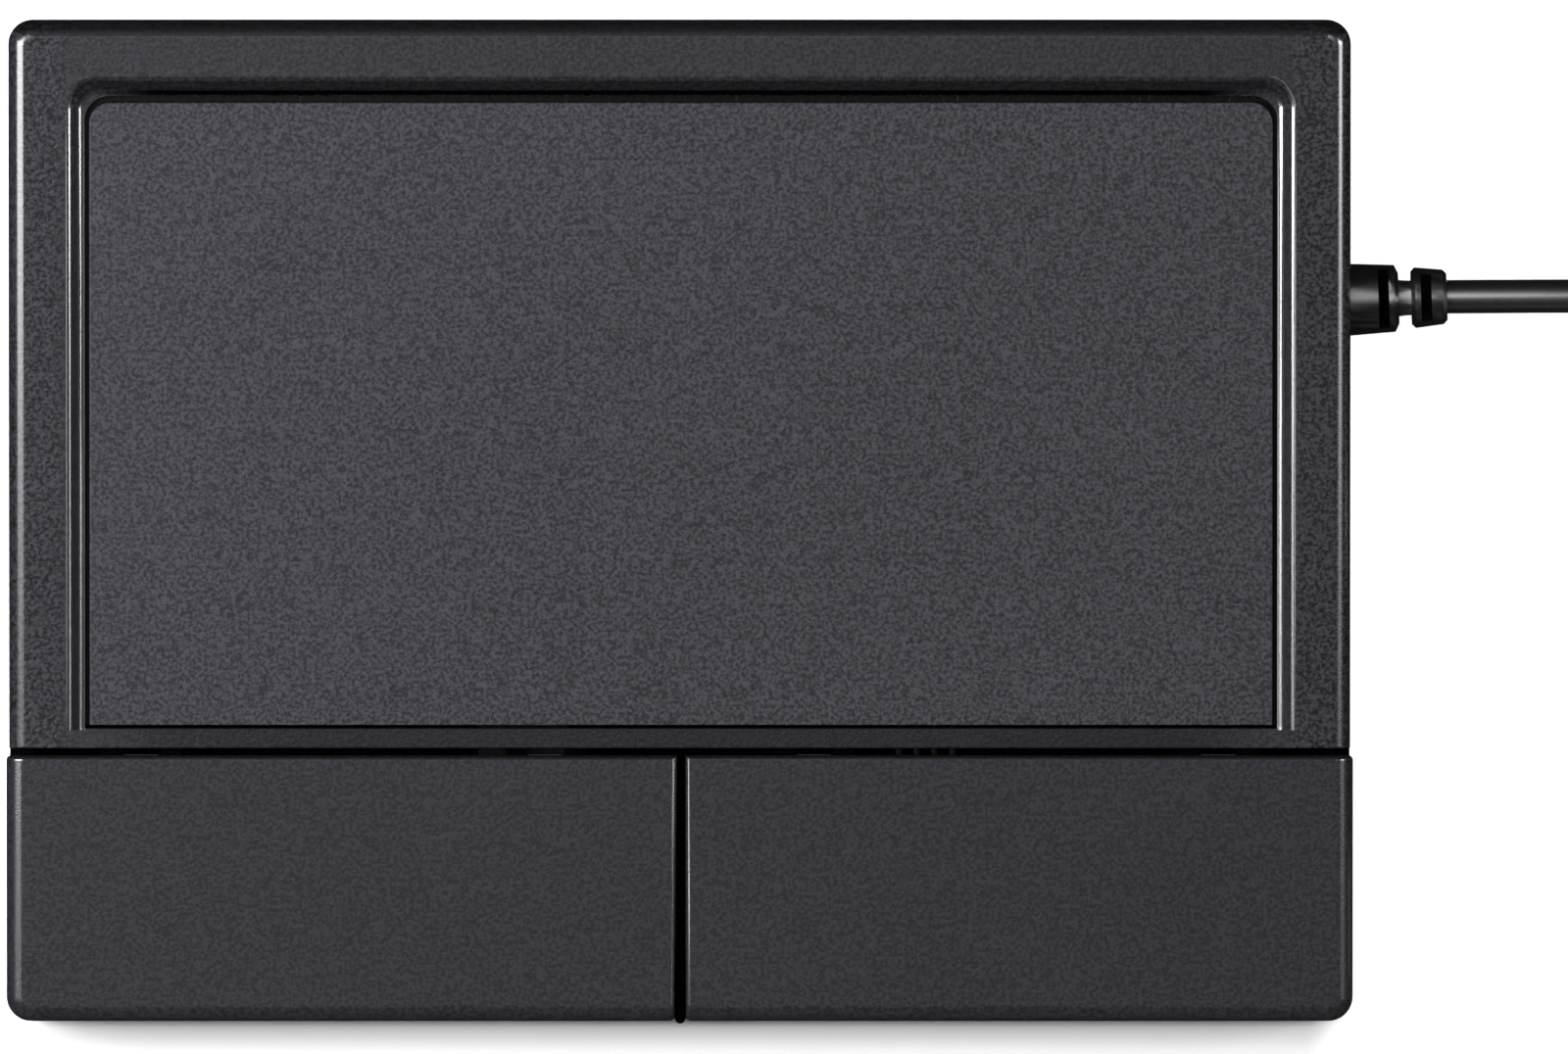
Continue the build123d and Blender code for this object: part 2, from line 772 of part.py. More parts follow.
with BuildPart() as touch_chip:
    with BuildSketch(board_face):
        with Locations((0, pad_middle)):
            RectangleRounded(chip_size, chip_size, passive_thickness / 2)
    extrude(amount=-chip_thickness)
    chamfer(touch_chip.faces().sort_by(Axis.Z)[0].edges(), chip_bevel)
save(touch_chip.part, "touch_chip")


def passive(places, plane, rise):
    """Draw a row of small two-ended parts on a board's face, each waisted between its end caps."""
    with BuildPart() as row:
        with BuildSketch(plane):
            with Locations(*places):
                Rectangle(passive_length, passive_width - 2 * seat_gap)
            for end in (-1, 1):
                with Locations(*[(x + end * (passive_length - passive_cap) / 2, y) for x, y in places]):
                    Rectangle(passive_cap, passive_width)
        extrude(amount=rise)
    return row.part


touch_passive_places = [
    (x_side * chip_size, pad_middle + step * 2 * passive_width)
    for x_side in (-1, 1)
    for step in (-2, -1, 0, 1, 2)
]
save(passive(touch_passive_places, board_face, -passive_thickness), "touch_parts")


# Main board with its chip, crystal and passives
board_back_y = board_front_y + board_length

with BuildPart() as main_board:
    with BuildSketch(Plane.XY.offset(board_underside)):
        with Locations((0, board_mid_y)):
            RectangleRounded(board_width, board_length, cavity_corner_radius)
        with Locations(*board_screw_places):
            Circle(board_screw_clearance, mode=Mode.SUBTRACT)
    extrude(amount=board_thickness)
save(main_board.part, "main_board")

with BuildPart() as main_chip:
    with BuildSketch(Plane.XY.offset(board_top)):
        with Locations((0, board_mid_y)):
            RectangleRounded(main_chip_size, main_chip_size, passive_thickness / 2)
    extrude(amount=chip_thickness)
    chamfer(main_chip.faces().sort_by(Axis.Z)[-1].edges(), chip_bevel)
save(main_chip.part, "main_chip")

with BuildPart() as crystal:
    with BuildSketch(Plane.XY.offset(board_top)):
        with Locations((main_chip_size + crystal_length / 2, board_mid_y)):
            SlotOverall(crystal_length, crystal_width)
    extrude(amount=crystal_height)
    chamfer(crystal.faces().sort_by(Axis.Z)[-1].edges(), chip_bevel)
save(crystal.part, "crystal")

main_passive_places = [
    (x_side * main_chip_size + step * 2 * passive_length, board_front_y + 2 * passive_length)
    for x_side in (-1, 1)
    for step in (-1, 0, 1)
]
save(passive(main_passive_places, Plane.XY.offset(board_top), passive_thickness), "main_parts")


# Tact switches: base with a well, snap dome, sheet cover, terminals and a flanged plunger
switch_locations = [(x, switch_y) for x in switch_places]
switch_top = board_top + switch_base_height
well_floor = switch_top - switch_well_depth

with BuildPart() as switch_bases:
    with BuildSketch(Plane.XY.offset(board_top)):
        with Locations(*switch_locations):
            RectangleRounded(switch_size, switch_size, passive_thickness)
    extrude(amount=switch_base_height)
    with BuildSketch(Plane.XY.offset(well_floor)):
        with Locations(*switch_locations):
            Circle(switch_well_radius)
    extrude(amount=switch_well_depth, mode=Mode.SUBTRACT)
save(switch_bases.part, "switch_bases")

with BuildPart() as switch_covers:
    with BuildSketch(Plane.XY.offset(switch_top)):
        with Locations(*switch_locations):
            RectangleRounded(switch_size, switch_size, passive_thickness)
            Circle(plunger_radius + plunger_clearance, mode=Mode.SUBTRACT)
    extrude(amount=switch_cover_thickness)
save(switch_covers.part, "switch_covers")

with BuildPart() as switch_domes:
    for x, y in switch_locations:
        with BuildSketch(Plane(origin=(x, y, well_floor), x_dir=(1, 0, 0), z_dir=(0, -1, 0))):
            with BuildLine():
                outer_crown = (0, dome_rise)
                inner_crown = (0, dome_rise - dome_thickness)
                outer_rim = (dome_radius, 0)
                inner_rim = (dome_radius - dome_thickness, 0)
                TangentArc(outer_crown, outer_rim, tangent=(1, 0))
                Line(outer_rim, inner_rim)
                TangentArc(inner_crown, inner_rim, tangent=(1, 0))
                Line(inner_crown, outer_crown)
            make_face()
        revolve(axis=Axis((x, y, 0), (0, 0, 1)))
save(switch_domes.part, "switch_domes")

with BuildPart() as switch_terminals:
    for x, y in switch_locations:
        for x_side in (-1, 1):
            for y_side in (-1, 1):
                foot_x = x + x_side * (switch_size / 2 + terminal_thickness / 2)
                foot_y = y + y_side * switch_size / 4
                with BuildSketch(Plane.XY.offset(board_top)):
                    with Locations((foot_x, foot_y)):
                        Rectangle(terminal_thickness, terminal_width)
                extrude(amount=switch_base_height / 2)
                with BuildSketch(Plane.XY.offset(board_top)):
                    with Locations((foot_x + x_side * terminal_reach / 2, foot_y)):
                        Rectangle(terminal_reach, terminal_width)
                extrude(amount=terminal_thickness)
save(switch_terminals.part, "switch_terminals")

for name, x in zip(("left_switch_plunger", "right_switch_plunger"), switch_places):
    with BuildPart() as plunger:
        with BuildSketch(Plane.XY.offset(switch_top - plunger_slack - plunger_flange)):
            with Locations((x, switch_y)):
                Circle(plunger_flange_radius)
        extrude(amount=plunger_flange)
        with BuildSketch(Plane.XY.offset(switch_top - plunger_slack)):
            with Locations((x, switch_y)):
                Circle(plunger_radius)
        extrude(amount=plunger_top - switch_top + plunger_slack)
        chamfer(plunger.faces().sort_by(Axis.Z)[-1].edges(), seat_gap)
    save(plunger.part, name)


# Flat cable between the boards, with a low connector at each end
connector_width = ribbon_width + 2 * connector_margin
slot_height = ribbon_thickness + seat_gap
touch_connector_middle = board_front + connector_length + connector_setback
main_connector_y = board_back_y - connector_length / 2 - seat_gap

with BuildPart() as board_connectors:
    with BuildSketch(board_face):
        with Locations((ribbon_x, touch_connector_middle)):
            Rectangle(connector_width, connector_length)
    extrude(amount=-connector_height)
    with BuildSketch(board_face.offset(-(connector_height - slot_height) / 2)):
        with Locations((ribbon_x, touch_connector_middle - connector_length / 2)):
            Rectangle(ribbon_width + 2 * seat_gap, connector_length)
    extrude(amount=-slot_height, mode=Mode.SUBTRACT)
    with BuildSketch(Plane.XY.offset(board_top)):
        with Locations((ribbon_x, main_connector_y)):
            Rectangle(connector_width, connector_length)
    extrude(amount=connector_height)
    with BuildSketch(Plane.XY.offset(board_top + (connector_height - slot_height) / 2)):
        with Locations((ribbon_x, main_connector_y + connector_length / 2)):
            Rectangle(ribbon_width + 2 * seat_gap, connector_length)
    extrude(amount=slot_height, mode=Mode.SUBTRACT)
save(board_connectors.part, "board_connectors")

ribbon_plane = board_face.offset(-connector_height / 2)
ribbon_start = ribbon_plane.from_local_coords((ribbon_x, touch_connector_middle - seat_gap, 0))
ribbon_turn = ribbon_plane.from_local_coords((ribbon_x, touch_connector_middle - connector_length, 0))
ribbon_floor = board_top + connector_height / 2
with BuildPart() as ribbon_cable:
    with BuildLine():
        ribbon_path = FilletPolyline(
            ribbon_start,
            ribbon_turn,
            (ribbon_x, ribbon_turn.Y - ribbon_bend_radius, ribbon_floor),
            (ribbon_x, main_connector_y + seat_gap, ribbon_floor),
            radius=ribbon_bend_radius,
        )
    with BuildSketch(Plane(origin=ribbon_path @ 0, x_dir=(1, 0, 0), z_dir=ribbon_path % 0)):
        Rectangle(ribbon_width, ribbon_thickness)
    sweep(path=ribbon_path)
save(ribbon_cable.part, "ribbon_cable")


# Side-entry wire header, its plug and the leads that run under the bar to the cord
header_y = board_back_y - header_length / 2 - seat_gap
plug_face_y = header_y + header_length / 2 + header_length / 4
lead_height = board_top + header_height / 2

with BuildPart() as wire_header:
    with BuildSketch(Plane.XY.offset(board_top)):
        with Locations((header_x, header_y)):
            Rectangle(header_width, header_length)
    extrude(amount=header_height)
    with BuildSketch(Plane.XY.offset(board_top + header_wall)):
        with Locations((header_x, header_y + header_wall)):
            Rectangle(header_width - 2 * header_wall, header_length)
    extrude(amount=header_height - 2 * header_wall, mode=Mode.SUBTRACT)
save(wire_header.part, "wire_header")

with BuildPart() as wire_plug:
    with BuildSketch(Plane.XY.offset(board_top + header_wall + seat_gap)):
        with Locations((header_x, plug_face_y)):
            Rectangle(
                header_width - 2 * (header_wall + seat_gap),
                plug_face_y - header_y + header_length / 2 - header_wall - seat_gap,
                align=(Align.CENTER, Align.MAX),
            )
    extrude(amount=header_height - 2 * (header_wall + seat_gap))
save(wire_plug.part, "wire_plug")

with BuildPart() as lead_wires:
    for lead in range(lead_count):
        across = lead - (lead_count - 1) / 2
        lead_start_x = header_x + across * lead_pitch
        lead_end_x = cord_inner_x + across * lead_bundle_pitch
        with BuildLine():
            lead_path = FilletPolyline(
                (lead_start_x, plug_face_y, lead_height),
                (lead_start_x, bar_back_y, lead_height),
                (lead_end_x, cord_inner_front_y - 2 * lead_bend_radius, lead_height),
                (lead_end_x, cord_inner_front_y, lead_height),
                radius=lead_bend_radius,
            )
        with BuildSketch(Plane(origin=lead_path @ 0, z_dir=lead_path % 0)):
            RegularPolygon(lead_radius, tube_sides)
        sweep(path=lead_path)
save(lead_wires.part, "lead_wires")

collar_face_x = cavity_half_width - seat_gap - relief_collar
with BuildPart() as inner_cord:
    with BuildLine():
        inner_path = FilletPolyline(
            (collar_face_x, cord_place_y, boot_height),
            (cord_inner_x, cord_place_y, boot_height),
            (cord_inner_x, cord_inner_front_y, boot_height),
            radius=cord_bend_radius,
        )
    with BuildSketch(Plane(origin=inner_path @ 0, z_dir=inner_path % 0)):
        RegularPolygon(cord_diameter / 2, tube_sides)
    sweep(path=inner_path)
save(inner_cord.part, "inner_cord")


# Strain relief: collar inside the wall, neck, tapered base and a ring, slotted crosswise in turn
relief_end_x = half_width + relief_base_length + relief_gap_length + relief_ring_length
base_end_x = half_width + relief_base_length
ring_start_x = base_end_x + relief_gap_length

with BuildPart() as strain_relief:
    with BuildSketch(Plane(origin=(0, cord_place_y, boot_height), x_dir=(1, 0, 0), z_dir=(0, -1, 0))):
        with BuildLine():
            Polyline(
                (collar_face_x, 0),
                (collar_face_x, relief_collar_radius),
                (collar_face_x + relief_collar, relief_collar_radius),
                (collar_face_x + relief_collar, relief_neck_radius),
                (half_width, relief_neck_radius),
                (half_width, relief_root_radius),
                (base_end_x - relief_chamfer, relief_base_radius),
                (base_end_x, relief_base_radius - 2 * relief_chamfer),
                (ring_start_x, relief_ring_radius - relief_chamfer),
                (ring_start_x + relief_chamfer, relief_ring_radius),
                (relief_end_x - relief_chamfer, relief_tip_radius),
                (relief_end_x, relief_tip_radius - relief_chamfer),
                (relief_end_x, 0),
                close=True,
            )
        make_face()
    revolve(axis=Axis((0, cord_place_y, boot_height), (1, 0, 0)))
    ring_slot_x = ring_start_x + relief_ring_length * relief_ring_slot_share
    for slot_x in (base_end_x - relief_slot_inset, ring_slot_x):
        for side in (-1, 1):
            with BuildSketch(Plane.XY.offset(boot_height + side * relief_core_radius)):
                with Locations((slot_x, cord_place_y)):
                    Rectangle(relief_slot, 3 * relief_root_radius)
            extrude(amount=side * relief_root_radius, mode=Mode.SUBTRACT)
    for side in (-1, 1):
        with BuildSketch(Plane.XZ.offset(-cord_place_y - side * relief_core_radius)):
            with Locations(((base_end_x + ring_start_x) / 2, boot_height)):
                Rectangle(relief_gap_length, 3 * relief_root_radius)
        extrude(amount=-side * relief_root_radius, mode=Mode.SUBTRACT)
save(strain_relief.part, "strain_relief")


# Screws, with a cross recess in each head
def screws(places, seat, head_side, length):
    """Draw pan-head screws whose heads lie on a seat: head_side is 1 for heads above it, -1 below."""
    with BuildPart() as group:
        with BuildSketch(Plane.XY.offset(seat)):
            with Locations(*places):
                Circle(screw_head_radius)
        extrude(amount=head_side * screw_head_height)
        head_face = group.faces().group_by(Axis.Z)[-1 if head_side > 0 else 0]
        chamfer(head_face.edges(), screw_head_bevel)
        with BuildSketch(Plane.XY.offset(seat)):
            with Locations(*places):
                Circle(screw_radius)
        extrude(amount=-head_side * length)
        with BuildSketch(Plane.XY.offset(seat + head_side * screw_head_height)):
            with Locations(*places):
                Rectangle(cross_length, cross_width)
                Rectangle(cross_width, cross_length)
        extrude(amount=-head_side * cross_depth, mode=Mode.SUBTRACT)
    return group.part


save(screws(post_places, case_underside + head_pocket_depth, -1, case_screw_length), "case_screws")
save(screws(board_screw_places, board_top, 1, board_screw_length), "board_screws")


# Cord outside: from the boot down to the desk, into the coil and from the coil to the plug
def bend_radii(corners):
    """Radius for each inner corner, from half its turn and the shorter of the two runs beside it."""
    radii = []
    for before, here, after in zip(corners, corners[1:], corners[2:]):
        arriving = Vector(*here) - Vector(*before)
        leaving = Vector(*after) - Vector(*here)
        half_turn = radians(arriving.get_angle(leaving)) / 2
        radii.append(bend_share * min(arriving.length, leaving.length) / tan(half_turn))
    return radii


def cord_tube(corners, name):
    """Sweep the cord along straight runs joined by arcs, and print its length and bends."""
    radii = bend_radii(corners)
    with BuildPart() as tube:
        with BuildLine():
            route = FilletPolyline(*corners, radius=radii)
        with BuildSketch(Plane(origin=route @ 0, z_dir=route % 0)):
            RegularPolygon(cord_diameter / 2, tube_sides)
        sweep(path=route)
    share = tube.part.volume / (cord_area * route.length)
    print(name, "length", round(route.length, 1), "bends", [round(radius, 1) for radius in radii])
    print(name, "volume share", round(share, 4))
    save(tube.part, name)


cord_floor = cord_diameter / 2
cord_area = tube_sides * (cord_diameter / 2) ** 2 * sin(2 * pi / tube_sides) / 2
coil_pitch = cord_diameter + coil_wind_gap
coil_outer_radius = coil_inner_radius + coil_layer_turns * coil_pitch
coil_centre_y = cord_place_y - coil_outer_radius
coil_top = cord_floor + (coil_layers - 1) * coil_pitch
coil_end_x = 2 * coil_centre_x - coil_start_x
plug_axis_z = plug_height / 2
run_corners = (
    (relief_end_x, cord_place_y, boot_height),
    (relief_end_x + run_level_length, cord_place_y, boot_height),
    (relief_end_x + run_level_length + run_drop_length, cord_place_y, cord_floor),
    (coil_start_x, cord_place_y, cord_floor),
)
whole_tail = (
    (coil_end_x, cord_place_y, coil_top),
    (tail_first_x, cord_place_y, coil_top),
    *tail_corners,
    (plug_end_x + tail_last_length, plug_place_y, plug_axis_z),
    (plug_end_x, plug_place_y, plug_axis_z),
)
cord_tube(run_corners, "cord_run")
cord_tube(whole_tail, "cord_tail")


# Coil: spirals in and out in turn, one layer above the other, climbing where the spiral reverses
def coil_place(turns, level):
    """Place on the coil after a number of turns, on a level counted in layers, and the way it runs there."""
    inward = abs((turns + coil_layer_turns) % (2 * coil_layer_turns) - coil_layer_turns)
    radius = coil_outer_radius - coil_pitch * inward
    angle = pi / 2 - 2 * pi * turns
    place = Vector(
        coil_centre_x + radius * cos(angle),
        coil_centre_y + radius * sin(angle),
        cord_floor + level * coil_pitch,
    )
    return place, Vector(sin(angle), -cos(angle), 0)


def twin_arcs(start, start_way, end, end_way):
    """Join two places by two arcs that are tangent to each other and to the ways at both ends."""
    span = end - start
    ways = start_way + end_way
    bend = 2 * (1 - start_way.dot(end_way))
    reach = (sqrt(span.dot(ways) ** 2 + bend * span.dot(span)) - span.dot(ways)) / bend
    middle = (start + end + (start_way - end_way) * reach) / 2
    first = TangentArc(start, middle, tangent=start_way)
    return [first, TangentArc(middle, end, tangent=first % 1)]


coil_nodes = [(0, 0)]
for layer in range(coil_layers):
    half_turns = range(2 * coil_layer_turns)
    coil_nodes += [(layer * coil_layer_turns + half / 2 + 1 / 4, layer) for half in half_turns]
    coil_nodes += [((layer + 1) * coil_layer_turns, layer + 1 / 2)] if layer < coil_layers - 1 else []
coil_nodes += [(coil_layers * coil_layer_turns, coil_layers - 1)]

with BuildPart() as cord_coil:
    with BuildLine() as coil_path:
        coil_arcs = [Line((coil_start_x, cord_place_y, cord_floor), coil_place(0, 0)[0])]
        for (turns, level), (next_turns, next_level) in zip(coil_nodes, coil_nodes[1:]):
            start, way = coil_place(turns, level)
            end, end_way = coil_place(next_turns, next_level)
            if next_turns - turns > 1 / 4:
                coil_arcs += [TangentArc(start, end, tangent=way)]
            else:
                coil_arcs += twin_arcs(start, way, end, end_way)
        coil_arcs += [Line(coil_arcs[-1] @ 1, (coil_end_x, cord_place_y, coil_top))]
    with BuildSketch(Plane(origin=coil_arcs[0] @ 0, z_dir=coil_arcs[0] % 0)):
        RegularPolygon(cord_diameter / 2, tube_sides)
    sweep(path=coil_path.line)
coil_points = [arc @ (step / arc_samples) for arc in coil_arcs[1:-1] for step in range(arc_samples)]
turn_points = len(coil_points) // (2 * coil_layers * coil_layer_turns)
least = min(
    (here - there).length
    for index, here in enumerate(coil_points)
    for there in coil_points[index + turn_points :]
)
coil_length = sum(arc.length for arc in coil_arcs)
print("cord_coil length", round(coil_length, 1), "least gap", round(least - cord_diameter, 3))
print("cord_coil bends from", round(min(arc.radius for arc in coil_arcs[1:-1]), 1))
print("cord_coil volume share", round(cord_coil.part.volume / (cord_area * coil_length), 4))
save(cord_coil.part, "cord_coil")


# Plug: moulded body with its own small boot, sheet shell, tongue and contacts
plug_back_x = plug_end_x - plug_relief_length
plug_front_x = plug_back_x - plug_body_length
plug_tip_x = plug_front_x - plug_shell_length

with BuildPart() as plug_body:
    with BuildSketch(Plane.YZ.offset(plug_front_x)):
        with Locations((plug_place_y, plug_axis_z)):
            RectangleRounded(plug_width, plug_height, plug_corner_radius)
    extrude(amount=plug_body_length)
    chamfer(plug_body.faces().filter_by(Axis.X).edges(), plug_bevel)
    for step in (-1, 0, 1):
        for side in (-1, 1):
            with BuildSketch(Plane.XY.offset(plug_axis_z + side * (plug_height / 2 - plug_grip_depth))):
                with Locations(((plug_front_x + plug_back_x) / 2 + step * plug_grip_pitch, plug_place_y)):
                    SlotOverall(plug_width - 2 * plug_corner_radius, plug_grip_width, rotation=90)
            extrude(amount=side * plug_grip_depth, mode=Mode.SUBTRACT)
    with BuildSketch(Plane(origin=(0, plug_place_y, plug_axis_z), x_dir=(1, 0, 0), z_dir=(0, -1, 0))):
        with BuildLine():
            Polyline(
                (plug_back_x - embed, 0),
                (plug_back_x - embed, plug_relief_radius),
                (plug_end_x - plug_relief_slot, plug_relief_tip_radius),
                (plug_end_x, plug_relief_tip_radius - plug_relief_slot / 2),
                (plug_end_x, 0),
                close=True,
            )
        make_face()
    revolve(axis=Axis((0, plug_place_y, plug_axis_z), (1, 0, 0)))
    with BuildSketch(Plane.YZ.offset(plug_front_x)):
        with Locations((plug_place_y, plug_axis_z)):
            RectangleRounded(plug_shell_width, plug_shell_height, plug_shell_corner)
    extrude(amount=plug_shell_seat, mode=Mode.SUBTRACT)
save(plug_body.part, "plug_body")

with BuildPart() as plug_shell:
    with BuildSketch(Plane.YZ.offset(plug_tip_x)):
        with Locations((plug_place_y, plug_axis_z)):
            RectangleRounded(plug_shell_width, plug_shell_height, plug_shell_corner)
            RectangleRounded(
                plug_shell_width - 2 * plug_shell_wall,
                plug_shell_height - 2 * plug_shell_wall,
                plug_shell_corner - plug_shell_wall,
                mode=Mode.SUBTRACT,
            )
    extrude(amount=plug_shell_length + plug_shell_seat)
    with BuildSketch(Plane.XY):
        with Locations((plug_tip_x + plug_window_setback, plug_place_y)):
            with GridLocations(0, 2 * plug_window_spread, 1, 2):
                Rectangle(plug_window, plug_window)
    extrude(amount=plug_height, mode=Mode.SUBTRACT)
save(plug_shell.part, "plug_shell")

tongue_floor = plug_axis_z - plug_shell_height / 2 + plug_shell_wall
tongue_length = plug_shell_length + plug_shell_seat - plug_tongue_setback
with BuildPart() as plug_tongue:
    with BuildSketch(Plane.XY.offset(tongue_floor)):
        with Locations((plug_tip_x + plug_tongue_setback, plug_place_y)):
            Rectangle(
                tongue_length,
                plug_shell_width - 2 * (plug_shell_wall + plug_shell_corner),
                align=(Align.MIN, Align.CENTER),
            )
    extrude(amount=plug_tongue_height)
    chamfer(plug_tongue.edges().filter_by(Axis.Y).group_by(Axis.X)[0], contact_thickness)
save(plug_tongue.part, "plug_tongue")

with BuildPart() as plug_contacts:
    with BuildSketch(Plane.XY.offset(tongue_floor + plug_tongue_height)):
        with Locations((plug_tip_x + 2 * contact_width + contact_length / 2, plug_place_y)):
            with GridLocations(0, contact_pitch, 1, contact_count):
                Rectangle(contact_length, contact_width)
    extrude(amount=contact_thickness)
save(plug_contacts.part, "plug_contacts")
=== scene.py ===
import logging
from collections.abc import Callable
from dataclasses import dataclass
from enum import Enum
from itertools import product
from math import atan, cos, pi, radians, sin, tan

import bpy
import numpy as np
from mathutils import Matrix, Vector


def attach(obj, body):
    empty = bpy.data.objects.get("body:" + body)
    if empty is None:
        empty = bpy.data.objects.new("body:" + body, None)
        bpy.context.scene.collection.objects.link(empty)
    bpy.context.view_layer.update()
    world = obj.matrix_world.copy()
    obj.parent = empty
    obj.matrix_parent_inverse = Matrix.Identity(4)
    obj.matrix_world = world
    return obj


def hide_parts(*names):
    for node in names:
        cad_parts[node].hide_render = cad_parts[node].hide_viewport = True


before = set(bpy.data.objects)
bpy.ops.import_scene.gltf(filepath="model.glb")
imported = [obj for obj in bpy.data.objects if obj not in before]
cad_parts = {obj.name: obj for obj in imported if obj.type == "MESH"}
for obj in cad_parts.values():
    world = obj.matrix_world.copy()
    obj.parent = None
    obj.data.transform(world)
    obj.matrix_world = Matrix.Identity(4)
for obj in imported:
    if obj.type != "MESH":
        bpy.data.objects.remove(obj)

MM = 0.001
TILT = atan(8.0 / 89.55)
WELD_REACH = 1e-7
FLAT_ANGLE = radians(0.2)
SHARP_ANGLE = radians(32.0)
RIM = "rim"
SHEEN_TINT = (0.9, 0.87, 1.0, 1.0)
WHITE = (1, 1, 1, 1)
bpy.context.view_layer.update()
Piece = bpy.types.Object
Pair = tuple[float, float]
Triple = tuple[float, float, float]
log = logging.getLogger("trackpad")


class Side(Enum):
    """The two sides of the seam between the buttons."""

    LEFT = "left"
    RIGHT = "right"


class Pick(Enum):
    """The parts of a mesh that an edit works on."""

    EDGES = "EDGE"
    FACES = "FACE"


def _operator(operation: str, swapped: bool = False) -> Callable:
    """Make the method of a flow that stands for one operation.

    Args:
        operation: The operation of the Math node.
        swapped: Whether the other value comes first.

    Returns:
        The method.
    """

    def method(self: "Flow", other: object) -> "Flow":
        """Return the flow of one Math node fed by both values."""
        first, second = (other, self) if swapped else (self, other)
        return self.graph.node("ShaderNodeMath", {"operation": operation}, {0: first, 1: second})

    return method


@dataclass(frozen=True)
class Flow:
    """A value that runs between shader sockets and takes part in Python sums."""

    graph: "Graph"
    socket: bpy.types.NodeSocket

    __add__, __radd__ = _operator("ADD"), _operator("ADD", swapped=True)
    __sub__, __rsub__ = _operator("SUBTRACT"), _operator("SUBTRACT", swapped=True)
    __mul__, __rmul__ = _operator("MULTIPLY"), _operator("MULTIPLY", swapped=True)
    at_most, at_least = _operator("MINIMUM"), _operator("MAXIMUM")

    def __abs__(self) -> "Flow":
        """Return the value without its sign."""
        return self.graph.node("ShaderNodeMath", {"operation": "ABSOLUTE"}, {0: self})


class Graph:
    """The node tree of one material or of the world."""

    def __init__(self, owner: bpy.types.ID) -> None:
        """Start an empty tree.

        Args:
            owner: The material or world whose nodes are made.
        """
        owner.use_nodes = True
        self.tree = owner.node_tree
        self.tree.nodes.clear()

    def node(self, kind: str, settings: dict, values: dict, output: object = 0) -> Flow:
        """Add a node, set it up, feed its sockets and return one of its outputs.

        Args:
            kind: The node's type name.
            settings: Properties of the node, set before the sockets.
            values: Numbers, colours or flows by socket name or number.
            output: Name or number of the output to return.

        Returns:
            The flow of the chosen output.
        """
        made = self.tree.nodes.new(kind)
        for name, value in settings.items():
            setattr(made, name, value)
        for name, value in values.items():
            if isinstance(value, Flow):
                self.tree.links.new(value.socket, made.inputs[name])
            else:
                made.inputs[name].default_value = value
        return Flow(self, made.outputs[output]) if made.outputs else None

    def place(self) -> Flow:
        """Return the Object coordinates of the surface."""
        return self.node("ShaderNodeTexCoord", {}, {}, "Object")

    def stretched(self, scale: Triple) -> Flow:
        """Return Object coordinates stretched by a scale for each axis."""
        return self.node("ShaderNodeMapping", {}, {"Vector": self.place(), "Scale": scale})

    def ray(self, kind: str) -> Flow:
        """Return 1 for light rays of one kind, such as Is Camera Ray, and 0 for others."""
        return self.node("ShaderNodeLightPath", {}, {}, kind)

    def noise(
        self, grain: float, detail: float = 2.0, vector: Flow | None = None, roughness: float = 0.5
    ) -> Flow:
        """Return a noise between 0 and 1.

        Args:
            grain: Size of the pattern's lumps in metres.
            detail: Octaves of finer noise.
            vector: Coordinates to read, or None for the Object coordinates.
            roughness: Strength of the finer octaves.

        Returns:
            The noise's flow.
        """
        values = {"Vector": vector or self.place(), "Scale": 1 / grain, "Detail": detail}
        return self.node("ShaderNodeTexNoise", {}, {**values, "Roughness": roughness}, "Fac")

    def blend(self, share: object, first: object, second: object) -> Flow:
        """Return a colour between two colours, each of them fixed or a flow."""
        ends = [end if isinstance(end, Flow) else (*end, 1) for end in (first, second)]
        return self.node("ShaderNodeMix", {"data_type": "RGBA"}, {0: share, 6: ends[0], 7: ends[1]}, 2)

    def strip(self, front: float, back: float, reach: float) -> Flow:
        """Return 1 on a strip along X and 0 off it.

        Args:
            front: The strip's edge towards -Y.
            back: The strip's edge towards +Y.
            reach: How far it goes to each side of the middle.

        Returns:
            The strip's flow.
        """
        across, along = self.axes("X", "Y")
        soft, end = 0.3 * MM, 7.5 * MM
        inside = self.fade(along, front - soft, front) * self.fade(along, back + soft, back)
        return inside * self.fade(abs(across), reach, reach - end)

    def axes(self, *names: str) -> list[Flow]:
        """Return single Object coordinates by the names of their axes."""
        split = self.node("ShaderNodeSeparateXYZ", {}, {"Vector": self.place()})
        return [Flow(self, split.socket.node.outputs[name]) for name in names]

    def fade(self, value: Flow, start: float, end: float, curve: str = "SMOOTHSTEP") -> Flow:
        """Return a step from 0 at the start to 1 at the end, smooth or straight."""
        ends = {"Value": value, "From Min": start, "From Max": end}
        return self.node("ShaderNodeMapRange", {"interpolation_type": curve}, ends)

    def bump(self, height: Flow, depth: float) -> Flow:
        """Return a normal disturbed by a height between 0 and 1, where 1 stands for a depth in metres."""
        return self.node("ShaderNodeBump", {}, {"Strength": 1.0, "Distance": depth, "Height": height})

    def glow(self, strength: object) -> Flow:
        """Return a shader that glows white."""
        return self.node("ShaderNodeEmission", {}, {"Color": WHITE, "Strength": strength})

    def mix(self, share: Flow, first: Flow, second: Flow) -> Flow:
        """Return a shader between two shaders."""
        return self.node("ShaderNodeMixShader", {}, {0: share, 1: first, 2: second})

    def surface(self, values: dict) -> None:
        """Feed a Principled shader and join it to the material's output."""
        shader = self.node("ShaderNodeBsdfPrincipled", {}, values)
        self.node("ShaderNodeOutputMaterial", {}, {"Surface": shader})


